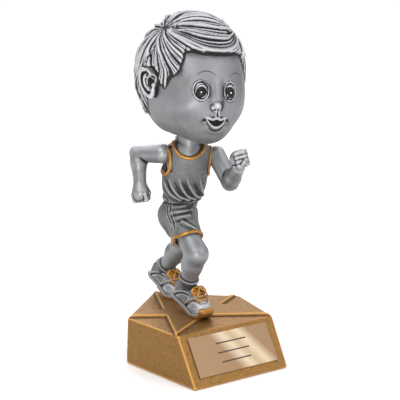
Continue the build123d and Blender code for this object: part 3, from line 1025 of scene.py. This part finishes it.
# ---- garments ----
VEST = (
    (69.4, -2.0, 7.2, 8.2, 7.0, -6), (71.4, -1.9, 6.9, 8.8, 7.6, -8), (77, -2.5, 5.6, 9.7, 7.8, -16),
    (84.5, -2.9, 3.3, 10.4, 7.6, -26), (91, -2.7, 2.1, 10.5, 6.9, -30), (95.0, -2.6, 2.3, 9.4, 5.4, -30),
    (97.4, -2.3, 2.4, 5.6, 3.2, -30),
)
VEST_AXIS = (-2.5, 5.0)
VEST_BOX = ((-17, -9, 68), (12, 19, 99))
VEST_HEM = 70.2
VEST_SHELL_FROM, VEST_THICKNESS = 80.5, 1.1
VEST_FOLD_SIZE = (0.62, 0.95)        # height and width
VEST_FOLDS_FADE = (75.5, 84.0)       # heights between which the folds die out
CLOTH_REACH, CLOTH_VOXEL = 2.6, 0.28
FOLDS = (
    ((-13.0, 7.5, 84.0), (-12.8, 5.4, 79.0), (-11.4, 3.4, 74.6), (-7.8, 0.8, 71.8)),
    ((-12.0, 2.6, 81.0), (-10.8, 1.8, 77.0), (-8.2, 0.4, 73.6), (-4.0, -0.3, 71.8)),
    ((-9.2, -1.2, 81.0), (-8.0, -1.2, 77.6), (-5.2, -1.2, 74.0), (-1.0, -0.6, 71.8)),
    ((-6.1, -2.9, 81.4), (-4.8, -2.8, 78.2), (-1.6, -1.6, 74.2), (2.4, 0.4, 72.0)),
    ((0.0, -3.9, 80.0), (2.2, -2.4, 76.0), (5.2, 1.0, 72.6)),
)
NECKLINE = ((-3.1, 0.3, 95.3), 5.7, 6.6, -30, 38)   # centre, half width, half depth, turn, tilt in degrees
NAPE_EDGE = 94.6             # height of the vest's back edge at the neck
ARMHOLES = {
    "right": ((-11.9, 5.2, 89.6), (-0.86, 0.51, 0.0), 6.0, 5.9),
    "left": ((7.0, -2.4, 88.6), (0.86, -0.51, 0.0), 4.2, 6.4),
}


def turned(points, axis, degrees):
    """Points turned about an upright axis."""
    c, s = math.cos(math.radians(degrees)), math.sin(math.radians(degrees))
    p = np.array(points, float)
    x, y = p[:, 0] - axis[0], p[:, 1] - axis[1]
    return np.stack([axis[0] + x * c - y * s, axis[1] + x * s + y * c, p[:, 2]], 1)


def line_distance(x, y, z, points):
    """Distance from a run of straight lines."""
    d = None
    for a, b in zip(points[:-1], points[1:]):
        here = bone(x, y, z, a, b, 0.0, 0.0)
        d = here if d is None else np.minimum(d, here)
    return d


def folded(d, x, y, z, folds, size, fade=None):
    """Raises a narrow crest along each fold between broad hollows, growing from nothing at its top."""
    height, width = size
    for fold in folds:
        off = line_distance(x, y, z, fold)
        grown = height if fade is None else height * (1 - step01(z, *fade))
        crest = 1.1 * bell(off / (0.55 * width)) + 0.5 * bell(off / (1.3 * width))
        hollow = 0.55 * bell((off - 2.2 * width) / (1.1 * width))
        d = d - grown * (crest - hollow)
    return d


def torso(x, y, z):
    return lofted(x, y, z, VEST)


VEST_FOLDS = [curve_through(f, 1.5) for f in FOLDS]
BACK_FOLDS = ((1, 146), (2, 170), (1, 198), (2, 224))       # which front fold, and how far round it is turned
VEST_FOLDS += [turned(VEST_FOLDS[i], VEST_AXIS, angle) for i, angle in BACK_FOLDS]
VEST_FOLDS = [settle(f, torso, 0.15, rounds=12) for f in VEST_FOLDS]


def neck_post(x, y):
    return np.hypot(x - NECK_AT[0], y - NECK_AT[1]) - NECK_RADIUS


def torso_and_neck(x, y, z):
    return np.minimum(torso(x, y, z), neck_post(x, y))


def neckline_axes():
    """Across, level back and tilted back."""
    turn, tilt = (math.radians(angle) for angle in NECKLINE[3:])
    c, s = math.cos(turn), math.sin(turn)
    tilted = (-s * math.cos(tilt), c * math.cos(tilt), math.sin(tilt))
    return np.array([(c, s, 0), (-s, c, 0), tilted])


def neckline_tool(x, y, z):
    """The tilted round opening for the neck."""
    centre, half_width, half_depth = NECKLINE[:3]
    u, v, tilted = local(x, y, z, neckline_axes(), centre)
    hole = (np.hypot(u / half_width, tilted / half_depth) - 1) * half_depth
    return np.maximum(hole, NAPE_EDGE - z - 9.0 * (1 - step01(v, -1.5, 1.5)))


def armhole_tool(x, y, z, side):
    centre, out, half_depth, half_height = ARMHOLES[side]
    out = unit(out)
    u, w, outward = local(x, y, z, ((-out[1], out[0], 0), (0, 0, 1), out), centre)
    ring = (np.hypot(u / half_depth, w / half_height) - 1) * half_depth
    return np.maximum(ring, -3.0 - outward)


def vest_fine(x, y, z, rough):
    """Folded cloth, a thin shell above the belly, with its three openings cut."""
    d = folded(rough, x, y, z, VEST_FOLDS, VEST_FOLD_SIZE, VEST_FOLDS_FADE)
    shell = np.maximum(-(rough + VEST_THICKNESS), d)
    d = np.where(z > VEST_SHELL_FROM, shell, d)
    d = cut(d, neckline_tool(x, y, z), 0.3)
    for side in ARMHOLES:
        d = cut(d, armhole_tool(x, y, z, side), 0.3)
    return np.maximum(d, VEST_HEM - z)


def loop(centre, first, second, n=40, turn=None):
    """Points round an ellipse given by its two half axes: n of them, or one at each turn."""
    t = np.radians(np.linspace(0, 360, n, endpoint=False)) if turn is None else turn
    return np.array(centre) + np.outer(np.cos(t), first) + np.outer(np.sin(t), second)


def make_vest(cloth, gold):
    vest = sculpt("vest_cloth", close_up(torso, vest_fine, CLOTH_REACH), *VEST_BOX, CLOTH_VOXEL)
    wash_shade_and_highlights(vest, ((5, 0.035), (26, 0.16)), crest=0.5)
    place(vest, "figure", "resin_cloth", cloth, "vest")
    trims = []
    centre, half_width, half_depth = NECKLINE[:3]
    across, _, back = neckline_axes()
    guide = loop(centre, across * (half_width + 0.35), back * (half_depth + 0.35))
    front_rise = 1 - step01(guide[:, 1], centre[1], centre[1] + 3)
    guide[:, 2] = np.minimum(guide[:, 2], NAPE_EDGE + 0.4 + front_rise)
    trims.append(piping("neckline", guide, torso_and_neck, 0.80, 0.50, closed=True, lift=0.12))
    for side, (middle, out, half_depth, half_height) in ARMHOLES.items():
        out = unit(out)
        fore = np.array([-out[1], out[0], 0.0])
        guide = loop(middle, fore * (half_depth + 0.3), (0, 0, half_height + 0.3))
        trims.append(piping(f"{side}_armhole", guide, torso, 0.76, 0.50, closed=True, lift=0.15))
    place(joined("vest_piping", trims), "figure", "resin_gold", gold)


SHORTS = (
    (52, -1.2, 10.6, 4.6, 5.0, 0), (56, -2.0, 10.4, 6.6, 6.6, 0), (60, -3.3, 10.3, 7.9, 7.9, 0),
    (64.5, -3.7, 10.1, 8.1, 8.3, 0), (70.0, -2.4, 8.0, 7.6, 7.0, 0), (72.0, -2.2, 7.6, 6.4, 5.8, 0),
)
SHORT_LEGS = {
    "right": ((-5.2, 4.2, 63.5), (-5.9, -1.6, 57.0), 7.0, 6.5, 2.6),
    "left": ((0.8, 10.6, 63.0), (2.6, 12.6, 51.0), 6.4, 6.5, 3.0),
}
SEAM_LINES = [curve_through(line, 1.5) for line in (
    ((-10.6, 6.6, 71.4), (-11.3, 5.0, 66.4), (-11.8, 1.4, 62.4), (-12.0, -1.6, 57.6)),
    ((-10.0, 4.9, 71.2), (-11.0, 3.0, 66.4), (-11.6, -0.6, 62.2), (-11.9, -3.0, 57.8)),
)]
SHORTS_FOLDS = [curve_through(fold, 1.5) for fold in (
    ((-10.9, 2.2, 66.2), (-8.6, -0.6, 67.2), (-4.5, -1.9, 67.8), (0.0, -0.8, 68.0)),
    ((-10.9, 0.4, 64.4), (-8.4, -2.2, 65.4), (-5.0, -3.2, 66.0)),
    ((-9.3, -3.4, 63.6), (-7.2, -6.1, 62.3), (-4.5, -8.0, 60.5)),
    ((-8.8, 0.6, 70.2), (-5.0, -0.2, 70.0), (0.4, 0.6, 70.4)),
)]
SHORTS_FOLD_SIZE = (0.46, 0.75)
SHORTS_TOP = 71.6
SHORTS_BOX = ((-15, -13, 44), (13, 23, 74))
SHORTS_THICKNESS = 0.9
HEM_AT, HEM_SLOPE = (12.0, 50.0), (0.574, 0.819)     # the left hem's plane: a point and its axis, in y and z
HEM_LIFT = 0.35              # the piping's place above the hem


def short_leg_axis(side):
    start, end = SHORT_LEGS[side][:2]
    return unit(np.subtract(end, start))


def hem_slant(x, y, z):
    """Distance past the left leg's hem, which hangs lower behind than in front."""
    return -((y - HEM_AT[0]) * HEM_SLOPE[0] + (z - HEM_AT[1]) * HEM_SLOPE[1])


REAR_CORNER_Y = 5.0


def right_hem_rise(x, y):
    """How far the right leg's hem is raised at its side notch and towards its rear corner."""
    notch = bell((x + 12.1) / 2.0, (y + 2.7) / 1.2)
    return 1.7 * notch + 1.1 * step01(y, -1.0, 6.0)


def past_hem(x, y, z, side):
    """How far a point is past the hem of a short leg, before the right hem's rise."""
    if side == "left":
        return hem_slant(x, y, z)
    return far_along(x, y, z, SHORT_LEGS[side][1], short_leg_axis(side)) - SHORT_LEGS[side][4]


def short_leg(x, y, z, side):
    start, end, r0, r1, past = SHORT_LEGS[side]
    d = bone(x, y, z, start, end + short_leg_axis(side) * (past + 3), r0, r1)
    over = past_hem(x, y, z, side)
    if side == "right":
        over = over + right_hem_rise(x, y)
    return -join(-d, -over, 0.3)


def shorts_rough(x, y, z):
    body = np.maximum(np.maximum(lofted(x, y, z, SHORTS), 53.0 - z), hem_slant(x, y, z))
    return join(join(body, short_leg(x, y, z, "right"), 1.6), short_leg(x, y, z, "left"), 1.6)


def shorts_fine(x, y, z, rough):
    d = folded(rough, x, y, z, SHORTS_FOLDS, SHORTS_FOLD_SIZE)
    for line in SEAM_LINES:
        off = line_distance(x, y, z, line)
        d = d + 0.42 * bell(off / 0.32) - 0.18 * bell((off - 0.75) / 0.35)
    for side, (_, end, _, radius, past) in SHORT_LEGS.items():
        inner = radius - SHORTS_THICKNESS
        bore = bone(x, y, z, end, end + short_leg_axis(side) * (past + 3), inner, inner)
        d = cut(d, np.maximum(bore, -(past_hem(x, y, z, side) + 2.2)), 0.3)
    return np.maximum(d, z - SHORTS_TOP)


def short_hem(side):
    """The piping round a short leg's hem, open where the body's cloth or the other leg's takes over."""
    _, end, _, radius, past = SHORT_LEGS[side]
    axis = short_leg_axis(side)
    first = unit(np.cross(axis, (0, 0, 1.0)))
    first = first * (radius + 0.1)
    ring = loop(end + axis * (past - HEM_LIFT), first, np.cross(axis, first), n=60)
    if side == "left":
        drop = -hem_slant(*ring.T) - 0.3
        ring = ring + np.outer(drop / -(axis[1] * HEM_SLOPE[0] + axis[2] * HEM_SLOPE[1]), axis)
    else:
        ring = ring - axis * right_hem_rise(ring[:, 0], ring[:, 1])[:, None]
    other = "left" if side == "right" else "right"
    keep = (short_leg(*ring.T, other) > -0.3) & (lofted(*ring.T, SHORTS) > -0.3)
    if side == "right":
        keep |= (ring[:, 0] < -6.0) & (ring[:, 1] < REAR_CORNER_Y)
    else:
        keep &= ring[:, 0] > -1.0
    whole = bool(keep.all())
    first_off = 0 if whole else int(np.argmin(keep))
    path = np.roll(ring, -first_off, 0)[np.roll(keep, -first_off)]
    up = unit(path - (end + np.outer((path - end) @ axis, axis)))
    return tube(f"{side}_hem", path, 0.72, 0.52, up, closed=whole)


def make_shorts(cloth, gold):
    field = close_up(shorts_rough, shorts_fine, CLOTH_REACH)
    shorts = sculpt("shorts_cloth", field, *SHORTS_BOX, CLOTH_VOXEL)
    wash_shade_and_highlights(shorts, ((5, 0.03), (26, 0.11)), crest=0.5)
    # painted shadow: the top of the shorts, under the vest's overhanging hem, set black
    set_attribute(shorts, "ink", 0.9 * step01(mesh_arrays(shorts.data)[0][:, 2], 69.0, 69.7))
    place(shorts, "figure", "resin_cloth", cloth, "shorts")
    trims = [short_hem(side) for side in SHORT_LEGS]
    place(joined("shorts_piping", trims), "figure", "resin_gold", gold)


# ---- skin: neck and chest, arms and legs ----
NECK_BOX, SKIN_VOXEL = ((-15, -8, 77), (10, 14, 102)), 0.32


def neck_field(x, y, z):
    d = bone(x, y, z, (*NECK_AT, 84.0), (*NECK_AT, 95.0), 5.6, NECK_RADIUS)
    column = np.maximum(neck_post(x, y), np.maximum(z - NECK_TOP, 90 - z))
    chest = np.maximum(torso(x, y, z) + 1.5, 79.0 - z)
    d = join(join(d, column, 0.5), chest, 1.6)
    throat = line_distance(x, y, z, ((-4.2, -3.6, 95.0), (-4.9, -4.2, 90.5)))
    return d + 0.35 * bell(throat / 0.5)


def make_neck(silver):
    neck = sculpt("neck_and_chest", neck_field, *NECK_BOX, SKIN_VOXEL)
    wash_shade_and_highlights(neck)
    place(neck, "figure", "resin_skin", silver, "neck")


ARMS = {
    "right": ((-12.4, 7.4, 92.0), (-18.8, 16.8, 91.2), (-20.7, 12.4, 78.4), (-21.4, 11.0, 74.3)),
    "left": ((8.0, -3.9, 91.0), (10.0, -11.8, 80.0), (7.4, -21.4, 88.0), (5.6, -25.2, 92.8)),
}
FIST_AXES = {  # the way the knuckles point, and the palm's facing
    "right": ((-0.12, -0.30, -0.95), (0.75, 0.55, -0.15)),
    "left": ((0.80, -0.50, 0.25), (-0.50, -0.80, 0.10)),
}
ARM_RADIUS = {"right": 4.4, "left": 4.1}
ARMHOLE_PLANES = {"right": ((-0.86, 0.51, 0.0), 10.4), "left": ((0.86, -0.51, 0.0), 5.6)}
FINGERS = (-2.5, -0.85, 0.8, 2.35)
FIST_SCALE = 1.08
ARM_VOXEL = 0.27


def fist(x, y, z, side):
    ahead, palm = (unit(axis) for axis in FIST_AXES[side])
    palm = unit(palm - palm.dot(ahead) * ahead)
    across = np.cross(ahead, palm) * (1 if side == "right" else -1)
    a, b, c = (p / FIST_SCALE for p in local(x, y, z, (ahead, across, palm), ARMS[side][3]))
    d = egg(a, b, c, (-0.7, 0, -0.2), (3.6, 3.5, 3.0))
    for row in FINGERS:
        bends = ((0.2, row, -1.4), (2.3, row, 0.0), (1.5, row, 2.1), (-1.3, row, 2.5))
        finger = None
        for start, end in zip(bends[:-1], bends[1:]):
            part = bone(a, b, c, start, end, 1.06, 1.0)
            finger = part if finger is None else join(finger, part, 0.3)
        d = join(d, finger, 0.12)
    b = b if side == "right" else -b
    thumb = join(
        bone(a, b, c, (-2.6, 2.2, 0.4), (-0.6, 2.8, 2.0), 1.15, 1.1),
        bone(a, b, c, (-0.6, 2.8, 2.0), (1.0, 1.6, 3.3), 1.05, 0.9),
        0.3,
    )
    return join(d, thumb, 0.15) * FIST_SCALE


def arm_field(side):
    shoulder, elbow, wrist = ARMS[side][:3]

    def field(x, y, z):
        d = bone(x, y, z, shoulder, elbow, ARM_RADIUS[side], 3.75)
        fore = bone(x, y, z, elbow, wrist, 3.7, 2.8)
        middle = tuple(np.array(elbow) * 0.68 + np.array(wrist) * 0.32)
        fore = join(fore, ball(x, y, z, middle, 3.55), 1.5)
        d = join(d, fore, 0.9)
        out, reach = ARMHOLE_PLANES[side]
        d = cut(d, x * out[0] + y * out[1] - reach, 0.5)
        return join(d, fist(x, y, z, side), 1.8)

    return field


def make_arms(silver):
    for side, points in ARMS.items():
        low, high = np.min(points, 0) - 6, np.max(points, 0) + 6
        arm = sculpt(f"{side}_arm_skin", arm_field(side), low, high, ARM_VOXEL)
        # painted highlight on the arms' upper sides, stronger on the right arm
        wash_shade_and_highlights(arm, over=0.60 if side == "right" else 0.25)
        place(arm, "figure", "resin_skin", silver, f"{side}_arm")


LEGS = {
    "right": ((-6.1, 1.8, 61.0), (-5.1, -8.2, 49.8), (-4.9, -0.9, 34.6)),
    "left": ((1.8, 11.6, 57.0), (3.0, 14.8, 47.5), (2.2, 29.6, 33.2)),
}


def leg_field(side):
    hip, knee, ankle = (np.array(p, float) for p in LEGS[side])
    shin = unit(ankle - knee)
    ahead = unit(np.array([0, -1.0, 0]) + shin[1] * shin)
    calf = knee + (ankle - knee) * 0.38 - ahead * 1.0
    cap = knee + ahead * 1.0

    def field(x, y, z):
        d = bone(x, y, z, hip, knee, 5.3, 4.9)
        lower = join(bone(x, y, z, knee, ankle, 4.7, 3.5), ball(x, y, z, calf, 4.4), 3.0)
        d = join(join(d, lower, 2.2), ball(x, y, z, cap, 3.9), 2.0)
        along = far_along(x, y, z, ankle, shin)
        off = np.sqrt(np.maximum(ball(x, y, z, ankle, 0) ** 2 - along**2, 0))
        sock = np.maximum(off - 4.1 + 0.10 * (along + 1.5), np.abs(along + 1.0) - 2.1)
        lip = length(off - 4.1, along + 2.9, 0 * off) - 0.58
        return join(join(d, sock, 0.15), lip, 0.25)

    return field


def make_legs(silver):
    for side, points in LEGS.items():
        low, high = np.min(points, 0) - 7.5, np.max(points, 0) + 7.5
        high[2] = min(high[2], 64.0)
        leg = sculpt(f"{side}_leg_skin", leg_field(side), low, high, SKIN_VOXEL)
        knee, ankle = (np.array(p) for p in points[1:])
        along = (mesh_arrays(leg.data)[0] - ankle) @ unit(ankle - knee)
        # darker below the sock's rolled top
        wash_shade_and_highlights(leg, ((4, 0.03), (30, 0.16)), crest=0.15, added_shade_and_wash=0.42 * step01(along, -3.6, -3.2))
        place(leg, "figure", "resin_skin", silver, f"{side}_leg")


# ---- shoes ----
SHOES = {
    "right": ((-3.4, 10.0, 25.9), (-3.1, -7.0, 21.2)),
    "left": ((2.0, 39.3, 27.8), (2.6, 22.8, 21.2)),
}
# side outlines of the upper, the welt and the sole, as places ahead of the heel and up; PLAN is half widths
UPPER = (
    (0.2, 1.4), (17.6, 1.4), (22.0, 2.8), (22.9, 4.2), (21.8, 6.8), (17.4, 9.2), (12.8, 12.2), (8.4, 10.6),
    (2.6, 11.4), (-0.5, 7.0), (-0.4, 2.2),
)
WELT = ((0.2, 0.3), (17.6, 0.3), (22.6, 2.3), (23.6, 3.4), (22.6, 4.0), (17.5, 1.7), (-0.7, 1.9), (-0.7, 1.0))
SOLE = (
    (9.5, -0.1), (17.6, -0.15), (21.8, 1.4), (23.4, 3.0), (23.8, 4.4), (23.3, 5.6), (22.2, 5.9), (21.4, 2.9),
    (17.5, 0.9), (9.5, 0.7),
)
WELT_GROW, SOLE_GROW = 0.15, 0.2
SHOE_VOXEL, SOLE_VOXEL = 0.26, 0.28
PLAN = ((-1, 3.0), (2, 3.9), (7, 4.0), (12, 4.3), (17, 4.9), (21, 4.3), (23, 3.2), (24.6, 1.8))
PANEL_LINES = [curve_through([(s, 0, t) for s, t in line], 1.0) for line in (
    ((2.0, 2.2), (4.8, 4.6), (8.0, 6.4), (12.4, 7.6), (13.7, 6.4), (13.3, 4.6), (11.4, 2.2)),
    ((12.2, 2.2), (14.6, 5.0), (15.8, 7.0), (18.0, 7.7), (19.8, 7.6)),
)]


def shoe_axes(side):
    """Origin at the heel's foot, and the directions ahead, across and up."""
    heel, toe = (np.array(p) for p in SHOES[side])
    ahead = unit(toe - heel)
    across = unit(np.cross(ahead, (0, 0, 1.0)))
    return heel, np.stack([ahead, across, np.cross(across, ahead)])


def to_shoe(x, y, z, side):
    heel, axes = shoe_axes(side)
    return local(x, y, z, axes, heel)


def from_shoe(points, side):
    heel, axes = shoe_axes(side)
    return np.asarray(points, float) @ axes + heel


def last_form(s, a, t, outline, grow, blend, lean=0.12):
    """A shoe shape: a side outline cut to the sole's plan."""
    profile = outline_distance(s, t, np.array(outline)) - grow
    width = smooth_curve(s, *zip(*PLAN)) + grow - lean * np.maximum(t - 2.5, 0)
    return -join(-profile, -(np.abs(a) - width), blend)


def upper_field(side):
    def rough(x, y, z):
        return last_form(*to_shoe(x, y, z, side), UPPER, 0.0, 3.2, 0.20)

    def fine(x, y, z, d):
        s, a, t = to_shoe(x, y, z, side)
        d = d - 0.35 * bell((t - 10.7 - 0.10 * (s - 7)) / 0.8) * (s < 11)
        for line in PANEL_LINES:
            off = line_distance(s, 0 * a, t, line)
            d = d + 0.60 * bell(off / 0.36) * step01(np.abs(a), 1.2, 2.2)
        cap = np.abs(s - 20.3 + 0.25 * np.abs(a) ** 1.3)
        return d + 0.35 * bell(cap / 0.32) * (1 - step01(np.abs(a), 1.8, 2.8))

    return close_up(rough, fine, 1.5)


def sole_field(side, outline, grow):
    return lambda x, y, z: last_form(*to_shoe(x, y, z, side), outline, grow, 1.1, 0.0)


LACE_ROWS = ((19.0, 8.5), (17.4, 9.3), (15.9, 10.2), (14.4, 11.2))
BOW_LOOP = (
    (0, 0, 0.7), (-0.7, 1.5, 1.0), (-0.6, 2.9, 0.1), (0.7, 3.2, -0.9), (1.3, 2.0, -0.1), (0.4, 0.5, 0.6),
)
BOW_END = ((0.2, 0, 0.9), (1.6, 1.0, 0.9), (3.0, 2.2, -0.4), (3.6, 2.8, -1.6))
KNOT = ((-0.5, -0.5, 1.0), (0.2, 0, 1.2), (0.7, 0.5, 0.9))


def make_shoes(silver, gold, gold_sole):
    for side in SHOES:
        box = from_shoe([(s, a, t) for s in (-2, 27) for a in (-6.5, 6.5) for t in (-1.5, 14)], side)
        low, high = box.min(0), box.max(0)
        upper = sculpt(f"{side}_shoe_upper", upper_field(side), low, high, SHOE_VOXEL)
        s, a, t = to_shoe(*mesh_arrays(upper.data)[0].T, side)
        tongue = step01(t, 7.4, 8.0) * (1 - step01(s, 19.6, 20.1))
        # painted highlight on the shoe's vamp
        vamp_highlight = step01(s - 12.6 - 0.72 * (t - 2.2), 0.0, 0.5) * (1 - tongue)
        wash_shade_and_highlights(upper, ((4, 0.018), (26, 0.07)), crest=0.8, added_highlight=0.45 * vamp_highlight)
        off_welt, off_sole = (outline_distance(s, t, np.array(line)) for line in (WELT, SOLE))
        seam = np.minimum(off_welt - WELT_GROW, off_sole - SOLE_GROW)
        set_attribute(upper, "ink", 0.95 * (1 - step01(seam, 0.45, 0.85)))
        place(upper, "figure", "resin_shoe", silver, f"{side}_shoe")
        welt = sculpt(f"{side}_shoe_welt", sole_field(side, WELT, WELT_GROW), low, high, SHOE_VOXEL)
        wash_shade_and_highlights(welt)
        place(welt, "figure", "resin_shoe", silver)
        sole = sculpt(f"{side}_shoe_sole", sole_field(side, SOLE, SOLE_GROW), low, high, SOLE_VOXEL)
        wash_shade_and_highlights(sole, crest=0.25)
        place(sole, "figure", "resin_gold", gold_sole)
        make_laces(side, gold)


def make_laces(side, gold):
    """Four rows across the tongue, and a bow on the top one with a loop and an end each side."""
    field = upper_field(side)
    cords = []
    for s, t in LACE_ROWS:
        steps = ((-0.9, -2.6, -1.5), (-0.2, -1.3, 0), (0, 0, 0.4), (-0.2, 1.3, 0), (-0.9, 2.6, -1.5))
        guide = from_shoe([(s + ds, a, t + dt) for ds, a, dt in steps], side)
        cords.append(piping("lace", guide, field, 0.58, 0.42, lift=0.15))
    s, t = LACE_ROWS[-1]
    for sign in (-1, 1):
        for steps, across, high in ((BOW_LOOP, 0.72, 0.45), (BOW_END, 0.50, 0.34)):
            path = from_shoe([(s + ds, sign * a, t + dt) for ds, a, dt in steps], side)
            cords.append(tube("bow", curve_through(path, 0.3), across, high))
    path = from_shoe([(s + ds, a, t + dt) for ds, a, dt in KNOT], side)
    cords.append(tube("knot", curve_through(path, 0.25), 0.75, 0.6))
    place(joined(f"{side}_laces", cords), "figure", "resin_gold", gold)


# ---- spring ----
SPRING_FOOT, SPRING_HEAD = 102.2, 114.2
SPRING_RADIUS, WIRE_RADIUS, SPRING_TURNS = 4.4, 0.6, 8


def make_spring(steel):
    """The coil in two halves that meet half way up.
    """
    turn = np.linspace(0, 2 * np.pi * SPRING_TURNS, 36 * SPRING_TURNS + 1)
    rise = np.linspace(SPRING_FOOT + WIRE_RADIUS, SPRING_HEAD - WIRE_RADIUS, len(turn))
    path = loop((*NECK_AT, 0), (SPRING_RADIUS, 0, 0), (0, SPRING_RADIUS, 0), turn=turn)
    path[:, 2] = rise
    middle = len(turn) // 2
    levels = (SPRING_FOOT, (SPRING_FOOT + SPRING_HEAD) / 2, SPRING_HEAD)
    foot, half_way, top = [tuple(c * MM for c in (*NECK_AT, z)) for z in levels]
    lower = tube("coil_spring_lower", path[: middle + 1], WIRE_RADIUS, sides=12)
    upper = tube("coil_spring_upper", path[middle:], WIRE_RADIUS, sides=12)
    for half in (lower, upper):
        dress(half, "spring_steel", steel, "bobble_spring")
    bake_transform(lower)
    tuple(foot)
    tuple(half_way)
    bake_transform(upper)
    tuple(half_way)
    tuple(top)


def finish_cad_nodes(finishes):
    """Better materials for the CAD nodes that stay as they are."""
    for name, finish in finishes.items():
        node_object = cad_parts[name]
        node_object.data.materials.clear()
        node_object.data.materials.append(finish)


# ---- make everything ----
make_camera()
make_studio()
silver_skin = antique_metal("antique_silver", SILVER, BLACK_WASH, grain=0.09)
silver_cloth = antique_metal(
    "antique_silver_cloth", CLOTH_SILVER, BLACK_WASH, grain=0.50, grain_mm=0.28, rough=0.5, bump_mm=0.05
)
silver_shoe = antique_metal(
    "antique_silver_shoe", CLOTH_SILVER, BLACK_WASH, grain=0.45, grain_mm=0.4, rough=0.42
)
gold_paint = antique_metal(
    "gold_paint", GOLD_PAINT, GOLD_WASH, grain=0.15, grain_mm=0.5, rough=0.35, metal=0.8
)
gold_base = antique_metal(
    "antique_gold", BASE_GOLD, BASE_WASH, grain=0.75, grain_mm=0.36, rough=0.42, metal=0.7, bump_mm=0.03
)
gold_sole = antique_metal(
    "gold_sole", SOLE_GOLD, GOLD_WASH, grain=0.15, grain_mm=0.5, rough=0.32, metal=0.8
)
black = gloss_black("black_enamel")
white = plain_finish("glint_white", (0.85, 0.86, 0.88), (0.95, 0.95, 0.95), 0.5, 0.25)
plate_brass = plate_finish("brushed_plate")
ink = plain_finish("engraving_ink", (0.02, 0.015, 0.01), (0.05, 0.04, 0.03), 0.5, 0.6)
steel = plain_finish("drawn_steel", (0.40, 0.40, 0.41), (0.55, 0.55, 0.56), 0.4, 0.3, 1.0)
plastic = plain_finish("black_plastic", (0.015, 0.015, 0.015), (0.03, 0.03, 0.03), 0.6, 0.5)
felt = plain_finish("black_felt", (0.008, 0.008, 0.009), (0.03, 0.03, 0.032), 0.25, 0.95, 0.0, 0.08)
tape = plain_finish("foam_tape", (0.80, 0.80, 0.78), (0.88, 0.88, 0.86), 0.4, 0.8)

finish_cad_nodes({
    "base_felt_pad": felt, "name_plate": plate_brass, "name_plate_tape": tape,
    "right_foot_pin": steel, "left_foot_pin": steel, "waist_dowel": steel,
    "right_shoulder_dowel": steel, "left_shoulder_dowel": steel,
    "spring_seat": plastic, "spring_cap": plastic, "head_disc": plastic,
})
make_base(gold_base)
make_plate_rules(ink)
make_head(silver_skin, black, white)
make_neck(silver_skin)
make_vest(silver_cloth, gold_paint)
make_shorts(silver_cloth, gold_paint)
make_arms(silver_skin)
make_legs(silver_skin)
make_shoes(silver_shoe, gold_paint, gold_sole)
make_spring(steel)
